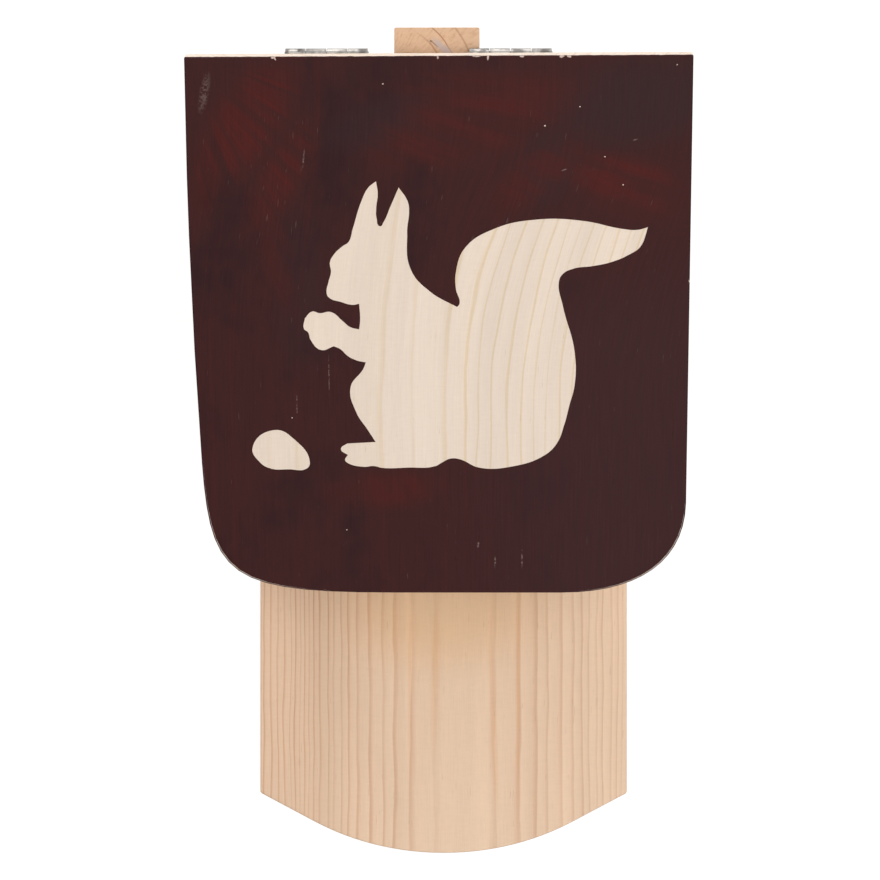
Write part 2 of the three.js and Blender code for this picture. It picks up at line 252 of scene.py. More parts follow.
def add_node(tree, kind, feeds=None, **options):
    """Adds one shader node. A feed is a value or another node's output."""
    made = tree.nodes.new("ShaderNode" + kind)
    for option, value in options.items():
        setattr(made, option, value)
    for socket, value in (feeds or {}).items():
        if isinstance(value, bpy.types.NodeSocket):
            tree.links.new(value, made.inputs[socket])
        else:
            made.inputs[socket].default_value = value
    return made


def calc(tree, operation, *values, clamp=False):
    """One Math node. The three sums below are the commonest ones."""
    feeds = dict(enumerate(values))
    return add_node(tree, "Math", feeds, operation=operation, use_clamp=clamp).outputs[0]


def times(tree, product, *factors):
    for factor in factors:
        product = calc(tree, "MULTIPLY", product, factor)
    return product


def plus(tree, first, second):
    return calc(tree, "ADD", first, second)


def minus(tree, first, second):
    return calc(tree, "SUBTRACT", first, second)


def step(tree, value, start, end, low=0.0, high=1.0):
    """Rises smoothly from low to high while the value goes from start to end."""
    feeds = {"Value": value, "From Min": start, "From Max": end, "To Min": low, "To Max": high}
    made = add_node(tree, "MapRange", feeds, interpolation_type="SMOOTHSTEP", clamp=True)
    return made.outputs["Result"]


def mix(tree, share, first, second, blend="MIX"):
    """Mixes two colours."""
    feeds = {COLOUR_FACTOR: share, COLOUR_A: first, COLOUR_B: second}
    return add_node(tree, "Mix", feeds, data_type="RGBA", blend_type=blend).outputs[COLOUR_RESULT]


def noise(tree, point, scale, detail=2.0, roughness=0.5, output="Fac"):
    """Soft random spots of about 1 / scale across."""
    feeds = {"Vector": point, "Scale": scale, "Detail": detail, "Roughness": roughness}
    return add_node(tree, "TexNoise", feeds).outputs[output]


def stretch(tree, point, along_x, along_y, along_z, shift=(0, 0, 0)):
    """Scales a point by a different number along each axis, to draw a texture out."""
    feeds = {"Vector": point, "Location": shift, "Scale": (along_x, along_y, along_z)}
    return add_node(tree, "Mapping", feeds).outputs["Vector"]


def split(tree, point):
    """The X, Y and Z outputs of a vector."""
    return add_node(tree, "SeparateXYZ", {0: point}).outputs


def join(tree, x, y, z=0.0):
    return add_node(tree, "CombineXYZ", {0: x, 1: y, 2: z}).outputs[0]


def length(tree, x, y):
    """How far a place in the plane of X and Y lies from the origin."""
    flat = join(tree, x, y)
    return add_node(tree, "VectorMath", {0: flat}, operation="LENGTH").outputs["Value"]


def scaled(tree, vector, factor):
    """A vector or a colour times a number."""
    feeds = {0: vector, "Scale": factor}
    return add_node(tree, "VectorMath", feeds, operation="SCALE").outputs[0]


def new_group(name, inputs, outputs):
    """An empty node group with named sockets. Returns it with its inner inputs and outputs."""
    group = bpy.data.node_groups.new(name, "ShaderNodeTree")
    for label, kind, value in inputs:
        socket = group.interface.new_socket(label, in_out="INPUT", socket_type="NodeSocket" + kind)
        if value is not None:
            socket.default_value = value
    for label, kind in outputs:
        group.interface.new_socket(label, in_out="OUTPUT", socket_type="NodeSocket" + kind)
    inside = group.nodes.new("NodeGroupInput").outputs
    outside = group.nodes.new("NodeGroupOutput").inputs
    return group, inside, outside


def use_group(tree, group, feeds):
    """Places a group in a material and returns its outputs."""
    return add_node(tree, "Group", feeds, node_tree=group).outputs


def new_material(name):
    """A material with only an output node in it."""
    material = bpy.data.materials.new(name)
    material.use_nodes = True
    material.node_tree.nodes.clear()
    output = material.node_tree.nodes.new("ShaderNodeOutputMaterial")
    return material, material.node_tree, output.inputs["Surface"]


def end_material(tree, surface, feeds, height, strength, depth):
    """Ends a material with one Principled shader, and turns a height into a fine relief on it."""
    relief = add_node(tree, "Bump", {"Strength": strength, "Distance": depth, "Height": height})
    shader = add_node(tree, "BsdfPrincipled", {**feeds, "Normal": relief.outputs[0]})
    tree.links.new(shader.outputs[0], surface)


def white_light(tree, kind, level):
    """Even white light of a given level, from a surface or from all round."""
    return add_node(tree, kind, {"Color": (1, 1, 1, 1), "Strength": level}).outputs[0]


def seen_directly(tree):
    """1 for what the camera sees, also in a mirror or through glass, and 0 for other light."""
    path = add_node(tree, "LightPath").outputs
    straight = calc(tree, "MAXIMUM", path["Is Camera Ray"], path["Is Glossy Ray"])
    return calc(tree, "MAXIMUM", straight, path["Is Transmission Ray"])


print("node helpers ready")

# %% [markdown]
# The studio is a white floor, a broad soft lamp overhead, a low one behind, and white light from
# all round. Together they light a level white surface to just about white, so a colour renders
# nearly as it is written. The lamp overhead stands a little to the front, so that it also shines
# under the lid's edge on to the floor board. The low one makes the lid's bare rear edge almost as
# white as the background. The floor glows for the camera only, which makes it white in the
# picture while a faint soft shadow still falls on it. What is seen of the surroundings has the
# floor's own white, so that no horizon shows in a low view.

# %% Floor, lamps and surroundings
FLOOR_SIZE = mm(6000)
FLOOR_WHITE = (0.9, 0.9, 0.9, 1)
FLOOR_SHADOW_WHITE = (0.16, 0.16, 0.16, 1)
FLOOR_GLOW = 0.9
SURROUNDING_LIGHT = 0.4
SURROUNDING_WHITE = 0.98
LAMPS = {
    "front_lamp": {"place": mm(500, -300, 1800), "size": mm(1300), "power": 21.0},
    "rear_lamp": {"place": mm(-300, 1500, 520), "size": mm(1050), "power": 15.0},
}

bpy.ops.object.select_all(action="DESELECT")
bpy.ops.mesh.primitive_plane_add(size=FLOOR_SIZE)
studio_floor = bpy.context.object
studio_floor.name = "studio_floor"

floor_paint, tree, surface = new_material("studio_white")
bounce = add_node(tree, "BsdfDiffuse", {"Color": FLOOR_WHITE}).outputs[0]
shadowed = add_node(tree, "BsdfDiffuse", {"Color": FLOOR_SHADOW_WHITE}).outputs[0]
glow = white_light(tree, "Emission", FLOOR_GLOW)
shown = add_node(tree, "AddShader", {0: shadowed, 1: glow}).outputs[0]
choice = add_node(tree, "MixShader", {0: seen_directly(tree), 1: bounce, 2: shown})
tree.links.new(choice.outputs[0], surface)
studio_floor.data.materials.append(floor_paint)

world = bpy.data.worlds.new("studio_surroundings")
bpy.context.scene.world = world
world.use_nodes = True
tree = world.node_tree
tree.nodes.clear()
output = tree.nodes.new("ShaderNodeOutputWorld")
fill = white_light(tree, "Background", SURROUNDING_LIGHT)
white = white_light(tree, "Background", SURROUNDING_WHITE)
choice = add_node(tree, "MixShader", {0: seen_directly(tree), 1: fill, 2: white})
tree.links.new(choice.outputs[0], output.inputs["Surface"])

for name, setting in LAMPS.items():
    lamp_data = bpy.data.lights.new(name, "AREA")
    lamp_data.shape = "SQUARE"
    lamp_data.size = setting["size"]
    lamp_data.energy = setting["power"]
    lamp = bpy.data.objects.new(name, lamp_data)
    lamp.location = setting["place"]
    lamp.rotation_euler = (-setting["place"]).to_track_quat("-Z", "Y").to_euler()
    bpy.context.scene.collection.objects.link(lamp)
    print(name, "gives", setting["power"], "watts")

# %% [markdown]
# Pine gets its look from its growth rings. A tree lays them down as tubes round its pith, so a
# flat board cuts them into long lines and its sawn end shows them as arcs. If a texture measures
# the distance from the pith in three dimensions, both come out right by themselves, with no seam
# where a face turns into an end. This group measures that distance. A slow wander and a quicker
# ripple are added to it, since no tree grows quite straight.

# %% Group: distance from the pith
ring_radius, given, results = new_group(
    "ring radius",
    [("Point", "Vector", None), ("Pith X", "Float", 0.0), ("Pith Z", "Float", -30.0),
     ("Wander", "Float", 2.0), ("Ripple", "Float", 0.9)],
    [("Radius", "Float"), ("Angle", "Float")],
)
tree = ring_radius
slow = stretch(tree, given["Point"], 0.012, 0.004, 0.012)
drift = split(tree, noise(tree, slow, 1.0, 1.0, output="Color"))
quick = stretch(tree, given["Point"], 0.11, 0.024, 0.11)
ripple = noise(tree, quick, 1.0, 2.0)
place = split(tree, given["Point"])
offsets = []
for axis, pith in ((0, "Pith X"), (2, "Pith Z")):
    lean = times(tree, minus(tree, drift[axis], 0.5), given["Wander"])
    flat = minus(tree, place[axis], given[pith])
    offsets.append(plus(tree, flat, lean))
across, up = offsets
tremble = times(tree, minus(tree, ripple, 0.5), given["Ripple"])
tree.links.new(plus(tree, length(tree, across, up), tremble), results["Radius"])
tree.links.new(calc(tree, "ARCTAN2", up, across), results["Angle"])
print("group made:", ring_radius.name)

# %% [markdown]
# Within one ring the wood starts pale and soft in spring, darkens slowly, and ends in a thin hard
# orange line that stops sharply where the next spring begins. This group turns a ring count into
# that line. It also gives each ring a strength of its own, as wet and dry years do.

# %% Group: one year's growth
late_wood, given, results = new_group(
    "late wood",
    [("Count", "Float", 0.0), ("Point", "Vector", None), ("Start", "Float", 0.45)],
    [("Line", "Float"), ("Glow", "Float")],
)
tree = late_wood
part = calc(tree, "FRACT", given["Count"])
rise = step(tree, part, given["Start"], 0.9)
stop = step(tree, part, 0.93, 1.0, 1.0, 0.0)
line = times(tree, rise, stop)
number = {"W": calc(tree, "FLOOR", given["Count"])}
year = add_node(tree, "TexWhiteNoise", number, noise_dimensions="1D").outputs["Value"]
patchy = noise(tree, stretch(tree, given["Point"], 0.05, 0.008, 0.05), 1.0)
strength = times(tree, step(tree, year, 0.0, 1.0, 0.55, 1.0), step(tree, patchy, 0.3, 0.7, 0.4, 1.2))
tree.links.new(calc(tree, "MULTIPLY", line, strength, clamp=True), results["Line"])
tree.links.new(times(tree, step(tree, part, 0.0, 0.95), stop, year), results["Glow"])
print("group made:", late_wood.name)

# %% [markdown]
# Close up, pine is a bundle of fibres a few hundredths of a millimetre thick, with short brown
# resin ducts among them. Three noises drawn out along the fibres give fine streaks, broad shades
# and the ducts.

# %% Group: fibres and resin ducts
fibres, given, results = new_group(
    "fibres",
    [("Point", "Vector", None), ("Seed", "Float", 0.0)],
    [("Fine", "Float"), ("Shade", "Float"), ("Ducts", "Float")],
)
tree = fibres
shift = join(tree, given["Seed"], 0.0, given["Seed"])
seeded = add_node(tree, "VectorMath", {0: given["Point"], 1: shift}, operation="ADD").outputs[0]
fine = noise(tree, stretch(tree, seeded, 2.6, 0.07, 2.6), 1.0, 3.0, 0.65)
shade_map = noise(tree, stretch(tree, seeded, 0.09, 0.006, 0.09), 1.0, 3.0, 0.6)
duct = noise(tree, stretch(tree, seeded, 1.9, 0.16, 1.9), 1.0, 0.0)
tree.links.new(fine, results["Fine"])
tree.links.new(shade_map, results["Shade"])
tree.links.new(step(tree, duct, 0.79, 0.86), results["Ducts"])
print("group made:", fibres.name)

# %% [markdown]
# A sawn end looks darker than a planed face, because its open fibres drink in the light. Fine rays
# run outwards from the pith and the saw leaves faint scratches. This group says how much of a
# surface is such an end, and draws the rays.

# %% Group: sawn ends
sawn_end, given, results = new_group(
    "sawn end",
    [("Point", "Vector", None), ("Normal", "Vector", None),
     ("Radius", "Float", 0.0), ("Angle", "Float", 0.0)],
    [("End", "Float"), ("Rays", "Float"), ("Scratches", "Float")],
)
tree = sawn_end
facing = calc(tree, "ABSOLUTE", split(tree, given["Normal"])["Y"])
polar = join(tree, times(tree, given["Angle"], 34.0), times(tree, given["Radius"], 0.3))
rays = noise(tree, polar, 1.0, 2.0, 0.6)
scratch = noise(tree, stretch(tree, given["Point"], 0.25, 1.0, 3.2), 1.0, 2.0, 0.6)
tree.links.new(step(tree, facing, 0.45, 0.8), results["End"])
tree.links.new(rays, results["Rays"])
tree.links.new(scratch, results["Scratches"])
print("group made:", sawn_end.name)

# %% [markdown]
# Handling rubs the arrises of a board and the rims of its holes. The Bevel node looks a little way
# round each point: where the surface turns a corner, its answer differs from the true normal. The
# difference makes a mask that follows every edge, whatever the mesh.

# %% Group: rubbed edges
rubbed_edge, given, results = new_group(
    "rubbed edge",
    [("Point", "Vector", None), ("Reach", "Float", mm(0.8))],
    [("Rubbed", "Float")],
)
tree = rubbed_edge
rounded = add_node(tree, "Bevel", {"Radius": given["Reach"]}, samples=6).outputs[0]
true_normal = add_node(tree, "NewGeometry").outputs["Normal"]
agree = add_node(tree, "VectorMath", {0: rounded, 1: true_normal}, operation="DOT_PRODUCT")
turned_away = step(tree, agree.outputs["Value"], 0.995, 0.9)
broken = noise(tree, given["Point"], 0.7, 3.0, 0.7)
tree.links.new(times(tree, turned_away, step(tree, broken, 0.35, 0.65)), results["Rubbed"])
print("group made:", rubbed_edge.name)

# %% [markdown]
# Scuffs, scratches, chips and brush marks are all long marks with soft ends. One small group draws
# such a mark: it measures how far a point lies from a short stroke, and fades with that distance.
# A list of strokes then needs one such group each, and the strongest of them counts. Strokes lie
# in the plane of X and Y and are as deep as the board.

# %% Group: a soft stroke
soft_stroke, given, results = new_group(
    "soft stroke",
    [("Point", "Vector", None), ("Place", "Vector", None), ("Turn", "Vector", None),
     ("Half Length", "Float", 5.0), ("Half Width", "Float", 1.0)],
    [("Mark", "Float")],
)
tree = soft_stroke
feeds = {0: given["Point"], 1: given["Place"]}
from_middle = add_node(tree, "VectorMath", feeds, operation="SUBTRACT").outputs[0]
feeds = {"Vector": from_middle, "Rotation": given["Turn"]}
turned_back = add_node(tree, "VectorRotate", feeds, rotation_type="EULER_XYZ", invert=True)
along, across, _ = split(tree, turned_back.outputs[0])
share_along = calc(tree, "DIVIDE", along, given["Half Length"])
share_across = calc(tree, "DIVIDE", across, given["Half Width"])
tree.links.new(step(tree, length(tree, share_along, share_across), 1.0, 0.3), results["Mark"])


def strokes(tree, point, marks):
    """The strongest of several strokes. A mark is X, Y, an angle in degrees from the X axis, a half
    length, a half width and a strength."""
    total = 0.0
    for x, y, angle, half_length, half_width, strength in marks:
        feeds = {
            "Point": point, "Place": (x, y, 0), "Turn": (0, 0, math.radians(angle)),
            "Half Length": float(half_length), "Half Width": float(half_width),
        }
        mark = use_group(tree, soft_stroke, feeds)["Mark"]
        total = calc(tree, "MAXIMUM", total, times(tree, mark, strength))
    return total


print("group made:", soft_stroke.name)

# %% [markdown]
# Now the pine itself. Each board gets a material of its own, because each was sawn from another
# part of a tree: the pith lies elsewhere and the rings are closer or wider. A board's fibres may
# run along X, Y or Z, so a Mapping node first turns the point until the fibres lie along Y, and
# changes metres into millimetres.

# %% Pine
MM_PER_METRE = 1000
NO_SHIFT = (0, 0, 0)
QUARTER_TURN = math.radians(90)
FIBRES_ALONG = {
    "X": (0, 0, QUARTER_TURN),
    "Y": (0, 0, 0),
    "Z": (QUARTER_TURN, 0, 0),
}
PINE_PALE = colour(229, 199, 173)
PINE_LINE = colour(209, 163, 124)
PINE_END = colour(212, 174, 141)
PINE_END_LINE = colour(178, 130, 92)
PINE_RAY = colour(224, 190, 158)
PINE_DUCT = colour(176, 126, 88)
PINE_RUBBED = colour(196, 160, 130)
PINE_SHARES = {"glow": 0.16, "ducts": 0.2, "rays": 0.55, "end line": 0.75, "rubbed": 0.4}
PINE_GLOSS = 0.25
RELIEF_DEPTH = mm(0.06)
RELIEF_STRENGTH = 0.5


def board_point(tree, turn, shift):
    """Object coordinates in millimetres with the fibres along Y, and the normal turned alike."""
    source = add_node(tree, "TexCoord").outputs
    feeds = {"Location": shift, "Rotation": turn, "Scale": (MM_PER_METRE,) * 3}
    point = add_node(tree, "Mapping", {"Vector": source["Object"], **feeds}).outputs[0]
    feeds = {"Vector": source["Normal"], "Rotation": turn}
    normal = add_node(tree, "Mapping", feeds, vector_type="VECTOR").outputs[0]
    return point, normal


def ring_count(tree, radius, rings):
    """Counts rings outwards: evenly, if rings is a spacing, or by a list of ring radii."""
    if not isinstance(rings, list):
        return calc(tree, "DIVIDE", radius, rings)
    reach = rings[-1] + (rings[-1] - rings[-2])
    chart = add_node(tree, "FloatCurve", {"Value": calc(tree, "DIVIDE", radius, reach)})
    points = chart.mapping.curves[0].points
    points[0].location = (0, 0)
    points[1].location = (1, 1)
    for number, ring in enumerate(rings, start=1):
        added = points.new(ring / reach, number / (len(rings) + 1))
        added.handle_type = "VECTOR"
    chart.mapping.update()
    return times(tree, chart.outputs[0], float(len(rings) + 1))


def tinted(tree, point, colours, marks):
    """Tints a colour in soft strokes. A mark is a list of strokes and the tone that they take."""
    for places, tone in marks:
        colours = mix(tree, strokes(tree, point, places), colours, tone, blend="MULTIPLY")
    return colours


def pine_growth(tree, point, pith, rings, wander, ripple, seed, start):
    """Places the three groups that all pine needs: the radius, one year's growth and the fibres."""
    feeds = {
        "Point": point, "Pith X": pith[0], "Pith Z": pith[1], "Wander": wander, "Ripple": ripple,
    }
    measured = use_group(tree, ring_radius, feeds)
    count = ring_count(tree, measured["Radius"], rings)
    growth = use_group(tree, late_wood, {"Count": count, "Point": point, "Start": start})
    return measured, growth, use_group(tree, fibres, {"Point": point, "Seed": seed})


def pine_looks(tree, point, normal, pith, rings, wander=2.0, ripple=0.9, seed=0.0, tones=None,
               start=0.45, fade=None, marks=()):
    """The colour, roughness and height of bare pine, as three node outputs. A fade is the X where
    the lines are strong, the X where they are weak, and how weak they are there."""
    tones = {
        "pale": PINE_PALE, "line": PINE_LINE, "end": PINE_END, "end line": PINE_END_LINE,
        "ray": PINE_RAY, **(tones or {}),
    }
    measured, growth, strands = pine_growth(tree, point, pith, rings, wander, ripple, seed, start)
    radius, angle = measured["Radius"], measured["Angle"]
    feeds = {"Point": point, "Normal": normal, "Radius": radius, "Angle": angle}
    ends = use_group(tree, sawn_end, feeds)
    edges = use_group(tree, rubbed_edge, {"Point": point})

    line, pale = growth["Line"], tones["pale"]
    if fade:
        across = split(tree, point)["X"]
        line = times(tree, line, step(tree, across, fade[0], fade[1], 1.0, fade[2]))
        # Across the fade the pale tone turns into the dim one, where one is given; on the floor board that is
        # partly painted shade.
        pale = mix(tree, step(tree, across, fade[0], fade[1]), tones.get("dim", pale), pale)
    face = mix(tree, line, pale, tones["line"])
    face = mix(tree, times(tree, growth["Glow"], PINE_SHARES["glow"]), face, tones["line"])
    face = mix(tree, times(tree, strands["Ducts"], PINE_SHARES["ducts"]), face, PINE_DUCT)
    face = tinted(tree, point, face, marks)
    rays = step(tree, ends["Rays"], 0.45, 0.75, 0.0, PINE_SHARES["rays"])
    end = mix(tree, rays, tones["end"], tones["ray"])
    end = mix(tree, times(tree, line, PINE_SHARES["end line"]), end, tones["end line"])
    wood = mix(tree, ends["End"], face, end)
    wood = mix(tree, times(tree, edges["Rubbed"], PINE_SHARES["rubbed"]), wood, PINE_RUBBED)

    brightness = times(
        tree, step(tree, strands["Fine"], 0.2, 0.8, 0.955, 1.035),
        step(tree, strands["Shade"], 0.25, 0.75, 0.955, 1.03),
        step(tree, ends["Scratches"], 0.3, 0.7, 0.985, 1.01),
    )
    rough = step(tree, strands["Fine"], 0.2, 0.8, 0.62, 0.78)
    rough = minus(tree, rough, times(tree, growth["Line"], 0.12))
    height = plus(tree, times(tree, strands["Fine"], 0.5), times(tree, line, 0.35))
    sawn = times(tree, ends["Scratches"], ends["End"], 0.8)
    return scaled(tree, wood, brightness), rough, plus(tree, height, sawn)


def end_wood(tree, surface, tint, rough, height, strength=RELIEF_STRENGTH, gloss=PINE_GLOSS):
    feeds = {"Base Color": tint, "Roughness": rough, "Specular IOR Level": gloss}
    end_material(tree, surface, feeds, height, strength, RELIEF_DEPTH)


def pine(name, fibres_along, pith, rings, **choices):
    """A material of bare planed pine."""
    material, tree, surface = new_material(name)
    point, normal = board_point(tree, FIBRES_ALONG[fibres_along], NO_SHIFT)
    end_wood(tree, surface, *pine_looks(tree, point, normal, pith, rings, **choices))
    return material


print("pine ready, relief", RELIEF_DEPTH / MM, "mm")

# %% [markdown]
# The zinc-plated screws are all of one kind in several sizes: a flat head on a 90 degree cone, a
# shank and a point. A screw is turned, so it starts as a circle that is extruded and scaled ring
# by ring. Its cross recess is a tapered block, used twice at right angles as a cutter.

# %% Turned shapes and screws
SCREW_SIDES = 32
POINT_SHARE = 0.12
RIM_EASE_SHARE = 0.35
RECESS_TOP_SHARE = 0.62
RECESS_WIDTH_SHARE = 0.3
RECESS_DEPTH_SHARE = 0.62
RECESS_TAPER = (0.3, 0.6, 1)


def turned(name, sides, rings):
    """Extrudes a filled circle through (radius, height) rings, like a part from a lathe."""
    radius, height = rings[0]
    bpy.ops.object.select_all(action="DESELECT")
    start = (0, 0, height)
    bpy.ops.mesh.primitive_circle_add(vertices=sides, radius=radius, fill_type="NGON", location=start)
    piece = settle(bpy.context.object)
    piece.name = name
    piece.data.name = name
    open_mesh(piece)
    bpy.ops.mesh.select_all(action="SELECT")
    for next_radius, next_height in rings[1:]:
        bpy.ops.mesh.extrude_region_move(TRANSFORM_OT_translate={"value": (0, 0, next_height - height)})
        grow = next_radius / radius
        bpy.ops.transform.resize(value=(grow, grow, 1), center_override=(0, 0, next_height))
        radius, height = next_radius, next_height
    close_outwards()
    return piece


def screw_rings(size, clearance=0.0, above=0.0):
    """Rings of a screw from its head down, with its head's top at height zero."""
    head, shank = size["head"] + clearance, size["shank"] + clearance
    cone_foot = -size["rim"] - (size["head"] - size["shank"])
    end = -size["length"] - clearance
    return [
        (head, above), (head, -size["rim"]), (shank, cone_foot), (shank, end + size["tip"]),
        (shank * POINT_SHARE, end),
    ]


BOARD_SCREW = {"head": mm(3), "shank": mm(1.5), "rim": mm(0.3), "length": mm(26), "tip": mm(4)}
BATTEN_SCREW = {**BOARD_SCREW, "length": mm(19)}
LEAF_SCREW = {"head": mm(2.1), "shank": mm(1.1), "rim": mm(0.2), "length": mm(11), "tip": mm(3)}
LID_SCREW = {**LEAF_SCREW, "length": mm(6), "tip": mm(2)}
SCREW_CLEARANCE = mm(0.12)
SCREW_OVERRUN = mm(5)
UP = Vector((0, 0, 1))


def recess_tool(size):
    """Half of a cross recess: a thin block that narrows downwards."""
    half = size["head"] * RECESS_TOP_SHARE
    width = size["head"] * RECESS_WIDTH_SHARE / 2
    depth = size["head"] * RECESS_DEPTH_SHARE
    tool = block("recess_tool", Vector((-half, -width, -depth)), Vector((half, width, depth)))
    open_mesh(tool)
    select(tool, "FACE", lambda face: face.normal.z < -FACING)
    bpy.ops.transform.resize(value=RECESS_TAPER, center_override=(0, 0, -depth))
    close_mesh()
    return tool


def screw_pattern(name, size):
    """One finished screw with its head's top at the origin and its point down."""
    screw = turned(name, SCREW_SIDES, screw_rings(size))
    ease(screw, size["rim"] * RIM_EASE_SHARE)
    second = recess_tool(size)
    settle(second, Matrix.Rotation(QUARTER_TURN, 4, "Z"))
    cut(screw, recess_tool(size), second)
    return shade(screw)


def corners(places):
    """The lowest and highest corner of a box round some places."""
    low = Vector(min(place[axis] for place in places) for axis in range(3))
    high = Vector(max(place[axis] for place in places) for axis in range(3))
    return low, high


def head_place(node, outward):
    """Where a CAD screw's head is: the middle of its vertices that lie furthest outwards."""
    places = [vertex.co for vertex in frame["nodes"][node].data.vertices]
    reach = max(place.dot(outward) for place in places)
    low, high = corners([place for place in places if place.dot(outward) > reach - TOUCH])
    return (low + high) / 2


def aim(place, outward, spin=0.0):
    """Turns what was made pointing up to an outward direction, at a place."""
    turn = UP.rotation_difference(outward).to_matrix().to_4x4()
    return Matrix.Translation(place) @ turn @ Matrix.Rotation(spin, 4, "Z")


def hole_tool(node, size, outward):
    """A cutter for the countersunk hole that a screw sits in."""
    rings = screw_rings(size, SCREW_CLEARANCE, SCREW_OVERRUN)
    return settle(turned("hole_tool", SCREW_SIDES, rings), aim(head_place(node, outward), outward))


print("screw head in mm:", 2 * BOARD_SCREW["head"] / MM)

# %% [markdown]
# The roof slopes 19.1 degrees and turns about the hinge pins. All that lies along the roof is
# easier to draw flat, in a frame whose origin is on the hinge axis, with Y up the slope and Z
# square to the lid. One matrix then carries it to its place.

# %% Roof frame
ROOF_SLOPE = math.radians(19.1)
lid_joint = next(joint for joint in frame["joints"] if joint["name"] == "lid_hinge")
HINGE_AXIS = Vector(lid_joint["pos_m"])
ROOF = Matrix.Translation(HINGE_AXIS) @ Matrix.Rotation(ROOF_SLOPE, 4, "X")
ROOF_UP = (ROOF.to_3x3() @ UP).normalized()
DOWN = -UP
REARWARD = Vector((0, 1, 0))


def roof_corners(piece):
    """The lowest and highest corner of an object, measured in the roof frame."""
    return corners([ROOF.inverted() @ vertex.co for vertex in piece.data.vertices])


def roof_box(node):
    return roof_corners(frame["nodes"][node])


print("lid in the roof frame, mm:", span(roof_box("lid_board")))

# %% [markdown]
# Which screw goes where is read from the CAD nodes' names, so nothing has to be placed by hand.

# %% Screw list
SIDES = ("left", "right")
screws = {}
for side in SIDES:
    for level in ("lower", "upper"):
        screws[f"rear_screw_{side}_{level}"] = (BOARD_SCREW, REARWARD, "box")
    for end in ("front", "rear"):
        screws[f"floor_screw_{side}_{end}"] = (BOARD_SCREW, DOWN, "box")
    screws[f"floor_screw_back_{side}"] = (BOARD_SCREW, DOWN, "box")
for level in ("lower", "upper"):
    screws[f"batten_screw_{level}"] = (BATTEN_SCREW, REARWARD, "box")
for hinge in SIDES:
    for side in SIDES:
        screws[f"{hinge}_hinge_box_screw_{side}"] = (LEAF_SCREW, ROOF_UP, "box")
        screws[f"{hinge}_hinge_lid_screw_{side}"] = (LID_SCREW, -ROOF_UP, "lid")


def drill(piece, start, also=""):
    """Cuts the holes of all screws whose names start with the given words."""
    for node, (size, outward, _) in screws.items():
        if node.startswith(start) and also in node:
            cut(piece, hole_tool(node, size, outward))
    return piece


print("screws:", len(screws))

# %% [markdown]
# A finished piece is handed over in one call: it takes its material, rides on its CAD body and
# hides the CAD node that it stands for.

# %% Hand a piece over
def hand_over(piece, body, nodes, slot, *materials):
    for material in materials:
        piece.data.materials.append(material)
    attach(piece, body)
    if nodes:
        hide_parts(*nodes)
    return piece


print("pieces to hand over:", len(frame["nodes"]), "and the coat of stain")

# %% [markdown]
# The floor board is the squirrel's seat: a 12 mm board with a nose that is round in the middle and
# straight at its flanks. It starts as a cube that runs to the point where the flanks would meet.
# Two saw cuts make the flanks, and a wide bevel on the one upright edge between them makes the
# round. A circle primitive would also give the round, but it would have to be stitched to the
# flanks, while the bevel runs into them smoothly by itself.

# %% Floor board
NOSE_RADIUS = mm(115)
NOSE_FLANK = math.radians(28)
NOSE_SEGMENTS = 28
NOSE_PROFILE = 0.539
FLOOR_EASE = mm(0.8)

floor_low, floor_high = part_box("floor_board")
nose_middle_y = floor_low.y + NOSE_RADIUS
nose_point_y = nose_middle_y - NOSE_RADIUS / math.cos(NOSE_FLANK)
floor_board = block("floor_board_pine", Vector((floor_low.x, nose_point_y, floor_low.z)), floor_high)
for side in (-1, 1):
    flank = Vector((side * math.sin(NOSE_FLANK), -math.cos(NOSE_FLANK), 0))
    saw(floor_board, Vector((0, nose_point_y, 0)), flank)
open_mesh(floor_board)
select(floor_board, "EDGE", lambda edge: all_ends(edge, lambda place: place.y < nose_point_y + TOUCH))
bpy.ops.mesh.bevel(
    offset_type="OFFSET", offset=NOSE_RADIUS * math.tan(NOSE_FLANK), segments=NOSE_SEGMENTS,
    profile=NOSE_PROFILE, affect="EDGES",
)
close_mesh()
nose_reach = min(vertex.co.y for vertex in floor_board.data.vertices)
print("nose ends at y", round(nose_reach / MM, 2), "mm, CAD", round(floor_low.y / MM, 2))

# %% [markdown]
# The board's arrises are rounded over and the six screw holes drilled from below. Its material
# counts the growth rings by a list of radii read off the real board: the pith lay 30 mm under the
# top face and a little right of the middle, so the rings show as wide soft lines in the middle
# and as close strong ones towards the left edge. Four strokes along the fibres are redder than the
# rest. Near the box the wood is painted a little darker and warmer: painted shade under the lid's
# front edge, warmed as by light bounced between the boards.

# %% Floor board finish
FLOOR_PITH = (9, -18)
FLOOR_RINGS = [
    8.0, 16.0, 24.0, 29.0, 32.6, 37.6, 42.1, 45.4, 49.8, 53.8, 56.9, 59.3, 62.1, 63.9, 67.2, 69.4, 71.2,
    73.0, 74.6, 76.4, 77.9, 80.6, 82.9, 85.6, 88.2,
]
# The dim tone paints the board darker towards its left edge: partly the board's own tone, partly painted shade, as
# the light falls from the right.
FLOOR_TONES = {
    "pale": colour(243, 211, 181), "dim": colour(227, 194, 165), "line": colour(203, 150, 113),
}
FLOOR_FADE = (-72, -5, 0.37)
FLOOR_RED_LINES = [
    (-13.7, -95, 90, 55, 1.1, 0.7), (30.5, -95, 90, 65, 1.2, 0.8), (20.5, -105, 92, 50, 1.8, 0.7),
    (-3.5, -88, 89, 42, 2.4, 0.6),
]
# Painted shade: two warm, darker clouds on the floor board under and just in front of the lid's edge.
FLOOR_LID_SHADE = [(-1.5, -55, 0, 60, 38, 1.0), (24, -62, 40, 22, 10, 0.6)]
FLOOR_RED = (0.97, 0.86, 0.76, 1)
FLOOR_SHADE_TONE = (0.96, 0.88, 0.77, 1)

